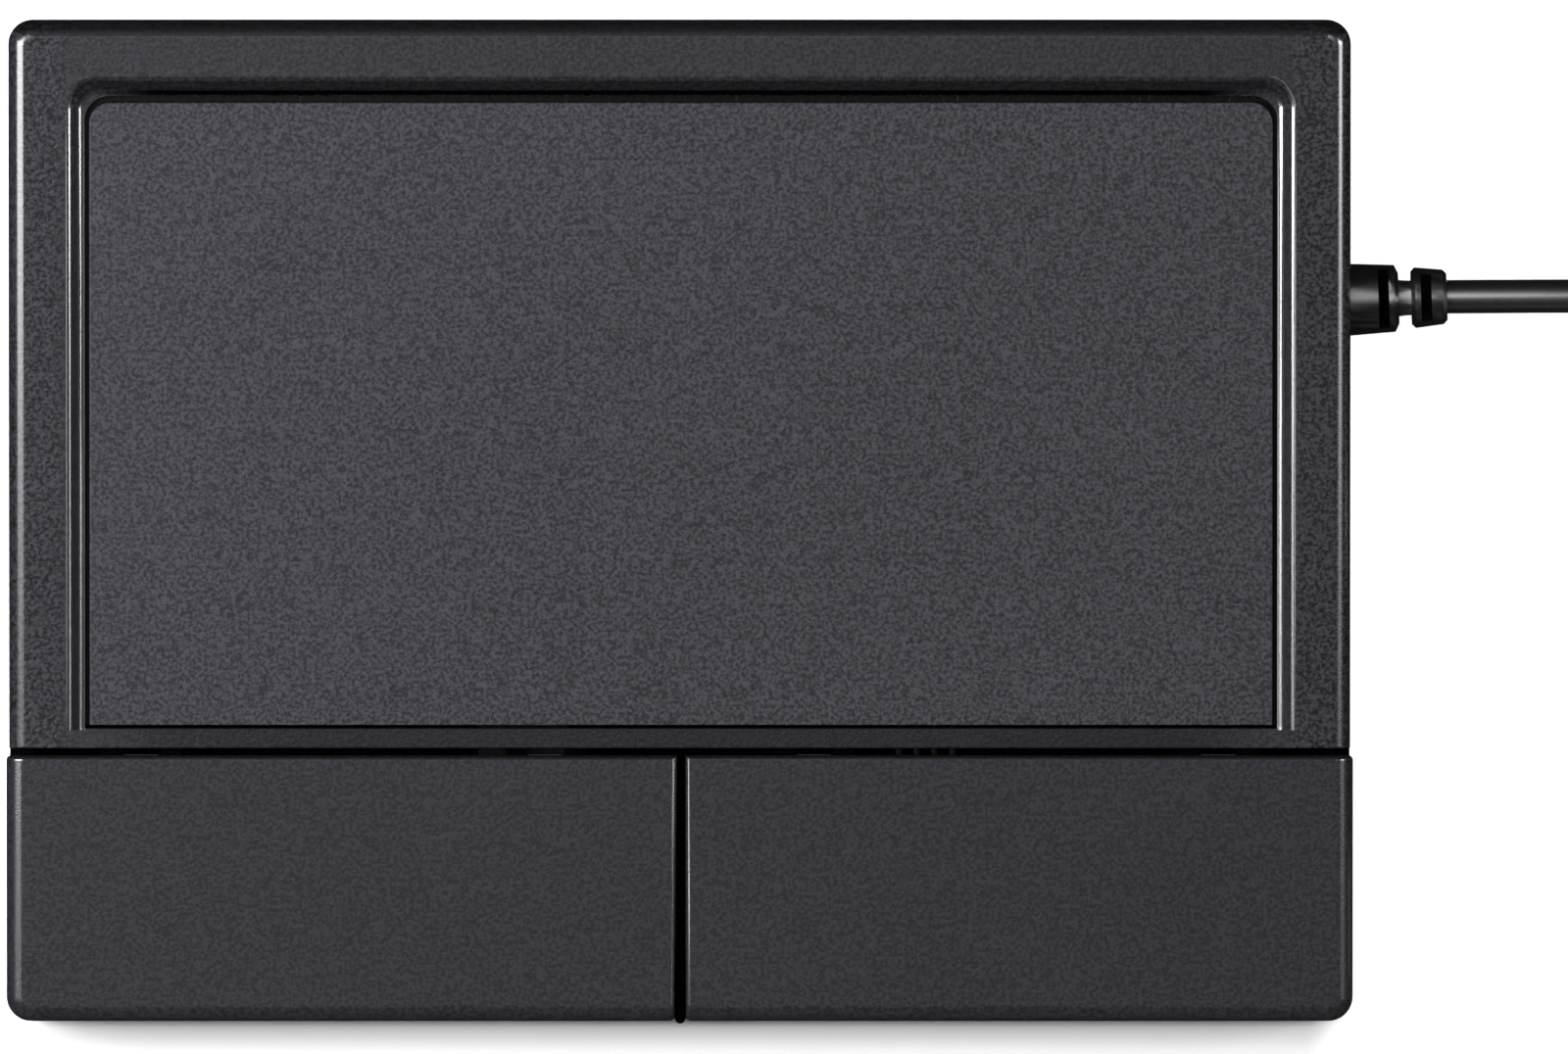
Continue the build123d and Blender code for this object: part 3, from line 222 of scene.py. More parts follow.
@dataclass(frozen=True)
class Finish:
    """What all finishes share: a name, a colour and a method that draws the material's nodes."""

    name: str
    colour: Triple

    def draw(self, graph: Graph) -> None:
        """Draw the nodes of this finish."""
        raise NotImplementedError

    def material(self) -> bpy.types.Material:
        """Find the material of this finish, or make it at its first use.

        Returns:
            The material.
        """
        found = bpy.data.materials.get(self.name)
        if found:
            return found
        made = bpy.data.materials.new(self.name)
        self.draw(Graph(made))
        return made

    def dress(self, piece: Piece) -> None:
        """Give a piece this finish and nothing else."""
        piece.data.materials.clear()
        piece.data.materials.append(self.material())

    def shade(self, factor: float) -> Triple:
        """Return the colour made darker or lighter by a factor."""
        return tuple(min(1.0, channel * factor) for channel in self.colour)

    def tones(self, graph: Graph, share: Flow, dark: float, light: float) -> Flow:
        """Return a colour between two shades of this finish, given by their factors."""
        return graph.blend(share, self.shade(dark), self.shade(light))


@dataclass(frozen=True)
class GrainedPlastic(Finish):
    """Moulded plastic with a spark-eroded grain."""

    grain: float = 0.36 * MM
    grain_span: Pair = (0.36, 0.64)
    cloud_size: float = 14 * MM
    cloud_share: float = 0.15
    depth: float = 0.03 * MM
    roughness: float = 0.33
    gleam: float = 0.25
    mottle: float = 0.42
    polish: float = 0.13
    rim_gain: float = 6.0
    painted_shade_gain: float = 1.3
    painted_shade_tone: float = 0.1
    rim_density: float = 5.0
    side_grain: float = 0.0
    side_start: Pair = (54 * MM, 56 * MM)
    bands: tuple = ()

    def draw(self, graph: Graph) -> None:
        """Draw a speckled dark body colour, an uneven gloss, a pitted relief, rubbed rims, painted shade on
        the rims that face back or front and on the recess's back slope, and strips of painted shade.

        Args:
            graph: The material's nodes.
        """
        rim = graph.node("ShaderNodeAttribute", {"attribute_name": RIM}, {}, "Fac")
        lumps = graph.noise(self.grain, roughness=0.6)
        cloud = graph.noise(self.cloud_size, 3.0)
        speckle = graph.fade(lumps, *self.grain_span)
        coarse = graph.fade(abs(graph.axes("X")[0]), *self.side_start) * self.side_grain
        share = speckle * (1 - self.cloud_share) + cloud * self.cloud_share
        spreads = (self.mottle, 2 * self.mottle)
        base = graph.blend(coarse, *(self.tones(graph, share, 1 - spread, 1 + spread) for spread in spreads))
        worn = rim
        smooth = (abs(rim) * self.rim_gain).at_most(1.0)
        # Each band paints shade: it darkens the base colour along its strip towards its tone, and its wear
        # lowers the roughness there.
        for tone, wear, *edges in self.bands:
            strip = graph.strip(*edges)
            worn = (worn + strip * wear).at_most(1.0)
            base = graph.blend(strip, base, self.tones(graph, lumps, 0, 2 * tone))
        # Marks below zero paint shade: they darken the base colour towards a near-black tone.
        painted_rim_shade = (rim * -self.painted_shade_gain).at_least(0.0)
        graph.surface({
            "Base Color": graph.blend(painted_rim_shade, base, self.tones(graph, lumps, 0, self.painted_shade_tone)),
            "Roughness": speckle * -0.04 + cloud * 0.04 + self.roughness - worn * self.polish,
            "Specular IOR Level": self.gleam,
            "Specular Tint": SHEEN_TINT,
            "Coat Weight": rim.at_least(0.0),
            "Coat IOR": self.rim_density,
            "Coat Roughness": self.roughness - self.polish,
            "Coat Tint": SHEEN_TINT,
            "Normal": graph.bump(lumps * (1 + coarse) * (1 - smooth), self.depth),
        })


@dataclass(frozen=True)
class SandyCoat(Finish):
    """Hard coat with bound grains that a fingertip glides on."""

    grain: float = 0.34 * MM
    grain_span: Pair = (0.38, 0.62)
    fine_size: float = 0.4
    fine_share: float = 0.3
    cloud_size: float = 18 * MM
    cloud_share: float = 0.1
    depth: float = 0.04 * MM
    roughness: float = 0.36
    gleam: float = 0.25
    mottle: float = 0.62

    def draw(self, graph: Graph) -> None:
        """Draw round grains of uneven tone on a fine ground.

        Args:
            graph: The material's nodes.
        """
        lumps = graph.noise(self.grain, roughness=0.6)
        fine = graph.noise(self.fine_size * self.grain, roughness=0.65)
        cloud = graph.noise(self.cloud_size)
        grains = lumps * (1 - self.fine_share) + fine * self.fine_share
        speckle = graph.fade(grains, *self.grain_span)
        share = speckle * (1 - self.cloud_share) + cloud * self.cloud_share
        graph.surface({
            "Base Color": self.tones(graph, share, 1 - self.mottle, 1 + self.mottle),
            "Roughness": cloud * 0.05 + speckle * 0.04 + (self.roughness - 0.04),
            "Specular IOR Level": self.gleam,
            "Specular Tint": SHEEN_TINT,
            "Normal": graph.bump(grains, self.depth),
        })


@dataclass(frozen=True)
class SoftVinyl(Finish):
    """Flexible moulded or extruded vinyl with a satin skin."""

    roughness: float = 0.34
    depth: float = 0.0005 * MM
    skin: float = 0.6
    density: float = 1.5

    def draw(self, graph: Graph) -> None:
        """Draw a satin black with faint scuffs and an orange-peel relief under a shiny skin.

        Args:
            graph: The material's nodes.
        """
        peel = graph.noise(0.5 * MM)
        scuffs = graph.noise(0.12 * MM, 4.0, roughness=0.7)
        graph.surface({
            "Base Color": self.tones(graph, scuffs, 0.75, 1.4),
            "Roughness": scuffs * 0.14 + peel * 0.06 + (self.roughness - 0.1),
            "Specular IOR Level": 1.0,
            "IOR": self.density,
            "Coat Weight": self.skin,
            "Coat Roughness": self.roughness,
            "Normal": graph.bump(peel * 0.7 + scuffs * 0.3, self.depth),
        })


@dataclass(frozen=True)
class FootRubber(Finish):
    """Matt rubber with talc in its pores."""

    def draw(self, graph: Graph) -> None:
        """Draw a matt black with pale pores.

        Args:
            graph: The material's nodes.
        """
        pores = graph.noise(0.2 * MM, 4.0, roughness=0.7)
        dust = graph.fade(pores, 0.45, 0.75, "LINEAR")
        graph.surface({
            "Base Color": self.tones(graph, dust, 1.0, 2.2),
            "Roughness": pores * 0.15 + 0.66,
            "Normal": graph.bump(pores, 0.01 * MM),
        })


@dataclass(frozen=True)
class SolderMask(Finish):
    """Lacquered board laminate with the copper's tracks under the lacquer."""

    track_pitch: float = 0.9 * MM
    gleam: float = 0.5

    def draw(self, graph: Graph) -> None:
        """Draw tracks as raised bands that wander, over a fine glass weave.

        Args:
            graph: The material's nodes.
        """
        wander = graph.noise(6 * MM, 1.0)
        bands = graph.node(
            "ShaderNodeTexWave",
            {"wave_type": "BANDS", "bands_direction": "X"},
            {"Vector": graph.place(), "Scale": 0.3 / self.track_pitch, "Distortion": 6.0, "Detail": 0.0},
            "Fac",
        )
        copper = graph.fade(bands, 0.62, 0.7, "LINEAR")
        weave = graph.noise(0.3 * MM)
        graph.surface({
            "Base Color": self.tones(graph, copper * 0.6 + weave * 0.2 + wander * 0.2, 0.7, 1.5),
            "Roughness": weave * 0.1 + 0.28,
            "Specular IOR Level": self.gleam,
            "Normal": graph.bump(copper, 0.02 * MM),
        })


@dataclass(frozen=True)
class MouldedResin(Finish):
    """Hard moulded piece: a chip's body, a connector, a plunger or a tongue."""

    roughness: float = 0.5
    grain: float = 0.1 * MM

    def draw(self, graph: Graph) -> None:
        """Draw a slightly mottled body with a fine matt grain.

        Args:
            graph: The material's nodes.
        """
        fine = graph.noise(self.grain, 3.0)
        flow = graph.noise(2 * MM)
        graph.surface({
            "Base Color": self.tones(graph, fine * 0.5 + flow * 0.5, 0.82, 1.15),
            "Roughness": fine * 0.12 + (self.roughness - 0.06),
            "Normal": graph.bump(fine, 0.004 * MM),
        })


@dataclass(frozen=True)
class ThinFilm(Finish):
    """Smooth film, tape or lead insulation."""

    roughness: float = 0.35
    gleam: float = 0.5
    streak_scale: Triple = (2500.0, 300.0, 2500.0)

    def draw(self, graph: Graph) -> None:
        """Draw a smooth skin with faint streaks along it.

        Args:
            graph: The material's nodes.
        """
        streaks = graph.noise(1.0, 3.0, graph.stretched(self.streak_scale))
        graph.surface({
            "Base Color": self.tones(graph, streaks, 0.85, 1.1),
            "Roughness": streaks * 0.12 + (self.roughness - 0.06),
            "Specular IOR Level": self.gleam,
            "Normal": graph.bump(streaks, 0.002 * MM),
        })


@dataclass(frozen=True)
class PlatedSheet(Finish):
    """Plated or turned metal with fine lines and small rubbed marks."""

    roughness: float = 0.24
    bareness: float = 0.75
    line_scale: Triple = (260.0, 6500.0, 6500.0)

    def draw(self, graph: Graph) -> None:
        """Draw rolling lines, uneven gloss and duller rubbed patches.

        Args:
            graph: The material's nodes.
        """
        lines = graph.noise(1.0, 3.0, graph.stretched(self.line_scale))
        rubbed = graph.fade(graph.noise(1.6 * MM, 4.0, roughness=0.65), 0.5, 0.72, "LINEAR")
        graph.surface({
            "Base Color": self.tones(graph, rubbed * 0.5 + lines * 0.4, 1.0, 0.8),
            "Metallic": self.bareness,
            "Roughness": lines * 0.06 + rubbed * 0.08 + (self.roughness - 0.05),
            "Normal": graph.bump(lines, 0.0003 * MM),
        })


class Palette:
    """The finishes of this trackpad, by the piece that wears them."""

    CASE = GrainedPlastic("charcoal_case_grain", (0.0206, 0.02, 0.023), roughness=0.5)
    # A near-black, barely glossy finish that paints shade on faces inside gaps and slots.
    PAINTED_SHADE = GrainedPlastic("painted_shade_case_grain", (0.0006, 0.0006, 0.0006), roughness=0.8, gleam=0.05)
    # Its bands paint shade: a darker, smoother strip on the bar in front of the pad, and black along the
    # ledge at the back of the recess.
    COVER = GrainedPlastic(
        "charcoal_cover_grain", (0.0241, 0.0233, 0.027), side_grain=1.0,
        bands=((0.6, 0.45, -20.3 * MM, -18.6 * MM, 53 * MM), (0.0, 1.0, 36.5 * MM, 38.5 * MM, 54 * MM)),
    )
    BUTTON = GrainedPlastic("charcoal_button_grain", (0.0243, 0.0236, 0.0271), mottle=0.4, depth=0.03 * MM)
    PAD = SandyCoat("sandy_pad_coat", (0.0376, 0.0364, 0.042))
    CORD = SoftVinyl("satin_cord_vinyl", (0.002, 0.002, 0.002), roughness=0.32, density=2.35)
    BOOT = SoftVinyl("moulded_boot_vinyl", (0.004, 0.004, 0.0045), 0.3, depth=0.001 * MM, density=2.0)
    GRIP = SoftVinyl("moulded_grip_vinyl", (0.011, 0.0108, 0.012), 0.48, depth=0.002 * MM, density=1.4)
    FOOT = FootRubber("black_foot_rubber", (0.016, 0.016, 0.016))
    BOARD = SolderMask("green_solder_mask", (0.02, 0.13, 0.05))
    TOUCH_BOARD = SolderMask("black_solder_mask", (0.002, 0.002, 0.0022), gleam=0.1)
    CHIP = MouldedResin("black_chip_resin", (0.02, 0.02, 0.022))
    CERAMIC = MouldedResin("tan_ceramic", (0.34, 0.24, 0.15))
    IVORY = MouldedResin("ivory_nylon", (0.66, 0.62, 0.52))
    SWITCH = MouldedResin("black_switch_nylon", (0.03, 0.03, 0.03))
    PLUNGER = MouldedResin("milky_plunger_resin", (0.52, 0.51, 0.47), roughness=0.4)
    TONGUE = MouldedResin("white_tongue_resin", (0.7, 0.7, 0.69), roughness=0.42)
    TAPE = ThinFilm("black_foam_tape", (0.002, 0.002, 0.002), roughness=0.7, gleam=0.1)
    RIBBON = ThinFilm("black_flat_film", (0.003, 0.003, 0.0032), gleam=0.15)
    LEADS = ThinFilm("black_lead_film", (0.003, 0.003, 0.003), roughness=0.5, gleam=0.15)
    STEEL = PlatedSheet("bright_switch_steel", (0.6, 0.6, 0.58))
    SCREW = PlatedSheet("zinc_screw_plate", (0.55, 0.55, 0.54), 0.32, line_scale=(3000.0, 3000.0, 3000.0))
    PLUG = PlatedSheet("nickel_plug_plate", (0.66, 0.64, 0.6))
    GOLD = PlatedSheet("gold_contact_plate", (0.83, 0.6, 0.24), roughness=0.2)


@dataclass(frozen=True)
class RimWearAndShade:
    """How far hands rub the grain off the rims, or, below zero, how much painted shade darkens them."""

    seam_share: float = 0.36
    side_share: float = 0.3
    left_rim: float = 0.45
    right_rim: float = 0.97
    foot_rim: float = 0.7
    # Marks below zero paint shade: they darken the rims that face front or back and the recess's back slope.
    front_rim_painted_shade: float = -0.08
    back_rim_painted_shade: float = -0.55
    back_slope_painted_shade: float = -0.42
    steepest: float = 0.1
    flattest: float = 0.996
    back_turn: Pair = (0.6, 0.03)
    front_turn: Pair = (-0.5, -0.2)
    slope_lean: float = cos(atan(1.2 / 1.25))
    slope_slack: float = 0.01
    slope_reach: Pair = (-21.0 * MM, 41.0 * MM)
    seam_reach: float = 3.0 * MM
    foot_end: float = 54.2 * MM
    side_start: float = 57.0 * MM

    def _level(self, place: Vector, normal: Vector, lean: float) -> float:
        """Work out one face's mark.

        Args:
            place: The face's middle.
            normal: Its normal.
            lean: The cosine of its angle to the top.

        Returns:
            The mark.
        """
        by_recess = abs(place.x) < self.side_start and self.slope_reach[0] < place.y < self.slope_reach[1]
        if by_recess and abs(lean - self.slope_lean) < self.slope_slack:
            return self.back_slope_painted_shade if normal.y < self.front_turn[1] else 0
        if normal.y > self.back_turn[0] * abs(normal.x) + self.back_turn[1]:
            return self.back_rim_painted_shade
        if normal.y < self.front_turn[0] * abs(normal.x) + self.front_turn[1]:
            return self.front_rim_painted_shade
        rubbed = self.right_rim if normal.x > 0 else self.left_rim
        if abs(place.x) < self.seam_reach:
            return rubbed * self.seam_share
        if abs(place.x) > self.side_start:
            return rubbed * self.side_share
        return self.foot_rim if normal.x < 0 and place.x < self.foot_end else rubbed

    def mark(self, piece: Piece) -> None:
        """Note the mark of each face of the rims.

        Args:
            piece: The skin.
        """
        up = Vector((0, -sin(TILT), cos(TILT)))
        marks = piece.data.attributes.new(RIM, "FLOAT", "FACE")
        for face, mark in zip(piece.data.polygons, marks.data):
            lean = face.normal.dot(up)
            if self.steepest <= lean <= self.flattest:
                mark.value = self._level(face.center, face.normal, lean)


@dataclass(frozen=True)
class Zone:
    """A box of space, given by its lowest and its highest corner in millimetres."""

    low: Triple
    high: Triple

    def __contains__(self, place: Vector) -> bool:
        """Tell whether a place in metres lies inside."""
        return all(low * MM < at < high * MM for low, at, high in zip(self.low, place, self.high))


def deselect() -> None:
    """Leave edit mode and deselect every object."""
    if bpy.context.object and bpy.context.object.mode != "OBJECT":
        bpy.ops.object.mode_set(mode="OBJECT")
    bpy.ops.object.select_all(action="DESELECT")


def take(piece: Piece) -> None:
    """Select one object alone and make it active."""
    deselect()
    piece.select_set(True)
    bpy.context.view_layer.objects.active = piece


def settle(name: str) -> Piece:
    """Name the active object and move its place, its turn and its size into its mesh.

    Args:
        name: The object's name.

    Returns:
        The object.
    """
    made = bpy.context.object
    made.name = name
    bpy.ops.object.transform_apply(location=True, rotation=True, scale=True)
    return made


def add_box(name: str, one: tuple, other: tuple) -> Piece:
    """Add a cube primitive that fills a box.

    Args:
        name: The object's name.
        one: A corner in metres.
        other: The corner across from it.

    Returns:
        The new object, with its place in its mesh.
    """
    deselect()
    low, high = Vector(map(min, one, other)), Vector(map(max, one, other))
    bpy.ops.mesh.primitive_cube_add(size=1, location=(low + high) / 2, scale=high - low)
    return settle(name)


def turn_solid(name: str, profile: list[Pair], axis_at: Pair, sides: int = 64) -> Piece:
    """Extrude and scale a disc step by step along X, as on a lathe.

    Args:
        name: The object's name.
        profile: Pairs of place along X and radius, in metres.
        axis_at: Y and Z of the axis.
        sides: Sides of the disc.

    Returns:
        The turned solid, with its place in its mesh.
    """
    deselect()
    x, radius = profile[0]
    bpy.ops.mesh.primitive_circle_add(
        vertices=sides, radius=radius, fill_type="NGON", location=(x, *axis_at), rotation=(0, pi / 2, 0)
    )
    made = settle(name)
    bpy.ops.object.mode_set(mode="EDIT")
    bpy.ops.mesh.select_all(action="SELECT")
    for next_x, next_radius in profile[1:]:
        bpy.ops.mesh.extrude_region_move(TRANSFORM_OT_translate={"value": (next_x - x, 0, 0)})
        ratio = next_radius / radius
        bpy.ops.transform.resize(value=(1, ratio, ratio), center_override=(next_x, *axis_at))
        x, radius = next_x, next_radius
    bpy.ops.mesh.select_all(action="SELECT")
    bpy.ops.mesh.remove_doubles(threshold=WELD_REACH)
    bpy.ops.mesh.normals_make_consistent(inside=False)
    bpy.ops.object.mode_set(mode="OBJECT")
    return made


def modify(piece: Piece, kind: str, **settings: object) -> None:
    """Add a modifier, set it up and apply it.

    Args:
        piece: The object to change.
        kind: The modifier's type.
        **settings: Its properties.
    """
    take(piece)
    modifier = piece.modifiers.new(kind.title(), kind)
    for name, value in settings.items():
        setattr(modifier, name, value)
    bpy.ops.object.modifier_apply(modifier=modifier.name)


def cut(piece: Piece, tool: Piece) -> None:
    """Cut one object's shape out of another and drop the tool."""
    modify(piece, "BOOLEAN", operation="DIFFERENCE", object=tool, solver="EXACT")
    bpy.data.objects.remove(tool)


def saw_box(piece: Piece, one: tuple, other: tuple) -> None:
    """Cut a box out of an object, given by two corners of the box."""
    cut(piece, add_box("saw", one, other))


def pick_parts(piece: Piece, kind: Pick, wanted: Callable) -> None:
    """Open an object's mesh with some of its edges or faces selected.

    Args:
        piece: The object.
        kind: What is picked.
        wanted: Says for an edge or a face whether it is picked.
    """
    take(piece)
    bpy.ops.object.mode_set(mode="EDIT")
    bpy.ops.mesh.select_all(action="DESELECT")
    bpy.ops.object.mode_set(mode="OBJECT")
    for element in piece.data.edges if kind is Pick.EDGES else piece.data.polygons:
        element.select = wanted(element)
    bpy.ops.object.mode_set(mode="EDIT")
    bpy.ops.mesh.select_mode(type=kind.value)


def bevel_edges(piece: Piece, along: Vector, width: float, segments: int) -> None:
    """Bevel the edges that run along a direction.

    Args:
        piece: The object to shape.
        along: The direction.
        width: Width of the bevel in metres.
        segments: Steps of its curve.
    """

    def runs_along(edge: bpy.types.MeshEdge) -> bool:
        """Tell whether an edge runs along the direction."""
        first, second = (piece.data.vertices[index].co for index in edge.vertices)
        return abs((second - first).normalized().dot(along)) > 0.999

    pick_parts(piece, Pick.EDGES, runs_along)
    bpy.ops.mesh.bevel(offset=width, offset_type="OFFSET", segments=segments, affect="EDGES")
    bpy.ops.object.mode_set(mode="OBJECT")


def round_edges(piece: Piece, width: float, segments: int, limit: float) -> None:
    """Round the edges that are sharper than a limit in degrees."""
    angle = radians(limit)
    modify(piece, "BEVEL", width=width, segments=segments, limit_method="ANGLE", angle_limit=angle)


def soften(piece: Piece, width: float, segments: int = 2, limit: float = 30.0) -> None:
    """Round the sharp edges a little and smooth the shading.

    Args:
        piece: The object to shape.
        width: Width of the rounding in metres.
        segments: Steps of its curve.
        limit: Angle in degrees past which an edge is sharp.
    """
    round_edges(piece, width, segments, limit)
    smooth_shading(piece)


def smooth_shading(piece: Piece) -> None:
    """Smooth the shading of all but the sharp edges and steady it on the flats."""
    take(piece)
    bpy.ops.object.shade_smooth_by_angle(angle=SHARP_ANGLE)
    modify(piece, "WEIGHTED_NORMAL", mode="FACE_AREA", weight=50, keep_sharp=True)


def welded_copy(node: str, wear: RimWearAndShade) -> Piece:
    """Copy a solid's mesh, weld its loose triangles, smooth its shading and mark its rims.

    Args:
        node: The solid's name.
        wear: How its rims are worn, and where shade is painted on them.

    Returns:
        The copy.
    """
    made = bpy.data.objects.new(f"{node}_skin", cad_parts[node].data.copy())
    bpy.context.scene.collection.objects.link(made)
    take(made)
    bpy.ops.mesh.customdata_custom_splitnormals_clear()
    bpy.ops.object.mode_set(mode="EDIT")
    bpy.ops.mesh.select_all(action="SELECT")
    bpy.ops.mesh.remove_doubles(threshold=WELD_REACH)
    bpy.ops.mesh.dissolve_limited(angle_limit=FLAT_ANGLE)
    bpy.ops.object.mode_set(mode="OBJECT")
    smooth_shading(made)
    wear.mark(made)
    return made


def ease_skin(piece: Piece, axis: int, shifts: tuple, floor: float) -> None:
    """Stretch a skin a little along an axis, near its top.

    Args:
        piece: The skin.
        axis: Number of the axis.
        shifts: Pairs of place and shift in millimetres, between which the shift is even.
        floor: Height over the leaning base plane under which nothing moves.
    """
    places, amounts = np.array(shifts).T * MM
    for vertex in piece.data.vertices:
        if vertex.co.z - tan(TILT) * vertex.co.y > floor:
            vertex.co[axis] += np.interp(vertex.co[axis], places, amounts)


def tint_faces(piece: Piece, finish: Finish, inside: Callable[[Vector], bool]) -> None:
    """Give some faces of a dressed piece another finish.

    Args:
        piece: The piece.
        finish: The other finish.
        inside: Says for a face's middle whether the face is one of them.
    """
    piece.data.materials.append(finish.material())
    for face in piece.data.polygons:
        if inside(face.center):
            face.material_index = len(piece.data.materials) - 1


def put_on(piece: Piece, body: str, slot: str, finish: Finish, *nodes: str) -> Piece:
    """Dress a new piece, let it ride on a body and let it stand for its solids.

    Args:
        piece: The new piece.
        body: The body that it moves with.
        slot: The record's material slot; not used.
        finish: Its finish.
        *nodes: The solids that it stands for.

    Returns:
        The piece.
    """
    finish.dress(piece)
    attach(piece, body)
    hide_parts(*nodes)
    log.info("%s: %d faces", piece.name, len(piece.data.polygons) if piece.type == "MESH" else 0)
    return piece


@dataclass
class Housing:
    """Top cover, bottom case, pad surface, feet and screws."""

    # Zones after a finish hold the faces that get painted shade.
    shells: tuple = (
        ("top_cover", "cover_plastic", Palette.COVER, Zone((-58, -99, -99), (58, -19, 10.8))),
        ("bottom_case", "case_plastic", Palette.CASE,
         Zone((-58, -44, 1.2), (58, 43, 99)), Zone((-58, -99, 8), (58, 43, 99))),
        ("touch_overlay", "pad_surface", Palette.PAD),
        ("rubber_feet", "foot_rubber", Palette.FOOT),
        ("case_screws", "screw_steel", Palette.SCREW),
    )
    side_shifts: tuple = (
        (-57, 0), (-55.4, 0.5), (-54.8, 0.5), (-53.95, 0.25), (-51.1, 0.25), (-45, 0),
        (53.9, 0), (54.5, -0.23), (55.4, -0.23), (57, 0),
    )
    back_shifts: tuple = ((30, 0), (36.5, -0.2))
    eased_floor: float = 12.5 * MM

    def build(self) -> None:
        """Weld, smooth and dress the pieces that show, and paint shade on the faces that lie in their
        hollows.
        """
        for node, slot, finish, *painted_shade_zones in self.shells:
            skin = put_on(welded_copy(node, RimWearAndShade()), "housing", slot, finish, node)
            if finish in (Palette.COVER, Palette.PAD):
                ease_skin(skin, 0, self.side_shifts, self.eased_floor)
            if finish is Palette.PAD:
                ease_skin(skin, 1, self.back_shifts, self.eased_floor)
            if painted_shade_zones:
                tint_faces(skin, Palette.PAINTED_SHADE, lambda place: any(place in zone for zone in painted_shade_zones))


@dataclass
class Buttons:
    """The two caps along the front."""

    wear: tuple = ((Side.LEFT, RimWearAndShade(0.45, 0.75)), (Side.RIGHT, RimWearAndShade(0.26, 0.27)))

    def build(self) -> None:
        """Weld, smooth and dress both caps."""
        for side, wear in self.wear:
            cap = f"{side.value}_button"
            put_on(welded_copy(cap, wear), cap, "button_plastic", Palette.BUTTON, cap)


@dataclass
class Boot:
    """Slotted strain relief where the cord leaves the right wall."""

    wall_x: float = 59.95 * MM
    axis: Pair = (20.1 * MM, 6.5 * MM)
    inner_x: float = 56.45 * MM
    collar_length: float = 1.3 * MM
    collar_radius: float = 3.4 * MM
    neck_radius: float = 2.4 * MM
    root_radius: float = 3.22 * MM
    base_radius: float = 3.0 * MM
    base_length: float = 4.4 * MM
    gap_length: float = 1.12 * MM
    ring_radius: float = 2.72 * MM
    ring_length: float = 3.2 * MM
    tip_radius: float = 2.45 * MM
    core_radius: float = 1.55 * MM
    slot_width: float = 0.95 * MM
    slot_inset: float = 1.35 * MM
    ring_slot_share: float = 0.42
    rim: float = 0.35 * MM
    softness: float = 0.16 * MM
    shade_margin: float = 0.02 * MM
    shade_reach: float = 0.85
    shift: float = -0.19 * MM
    lean: float = radians(1.8)

    def build(self) -> Piece:
        """Turn the boot, saw its slots and its side cuts, and round its edges.

        Returns:
            The boot.
        """
        base_end = self.wall_x + self.base_length
        ring_start = base_end + self.gap_length
        ring_end = ring_start + self.ring_length
        seat, rim = self.inner_x + self.collar_length, self.rim
        profile = [
            (self.inner_x, self.collar_radius), (seat, self.collar_radius),
            (seat, self.neck_radius), (self.wall_x, self.neck_radius),
            (self.wall_x, self.root_radius), (base_end - rim, self.base_radius),
            (base_end, self.base_radius - 2 * rim), (ring_start, self.ring_radius - rim),
            (ring_start + rim, self.ring_radius), (ring_end - rim, self.tip_radius),
            (ring_end, self.tip_radius - rim),
        ]
        boot = turn_solid("cord_boot", profile, self.axis)
        reach = 2 * self.root_radius
        slots = (base_end - self.slot_inset, ring_start + self.ring_length * self.ring_slot_share)
        half, core = self.slot_width / 2, self.core_radius
        y, z = self.axis
        for middle, side in product(slots, (-1, 1)):
            near = (middle - half, y - reach, z + side * core)
            saw_box(boot, near, (middle + half, y + reach, z + side * reach))
        for side in (-1, 1):
            near = (base_end, y + side * core, z - reach)
            saw_box(boot, near, (ring_start, y + side * reach, z + reach))
        soften(boot, self.softness, 3)
        put_on(boot, "housing", "cord_sheath", Palette.BOOT, "strain_relief")
        # Paint shade on the faces deep in the slots.
        tint_faces(boot, Palette.PAINTED_SHADE, lambda place: (
            any(abs(place.x - middle) < half + self.shade_margin for middle in slots)
            and (place.yz - Vector(self.axis)).length < self.shade_reach * self.ring_radius
        ))
        pivot = Matrix.Translation((self.wall_x, y, z))
        turn = Matrix.Rotation(self.lean, 4, "Z")
        boot.matrix_world = Matrix.Translation((0, self.shift, 0)) @ pivot @ turn @ pivot.inverted()
        take(boot)
        return settle(boot.name)


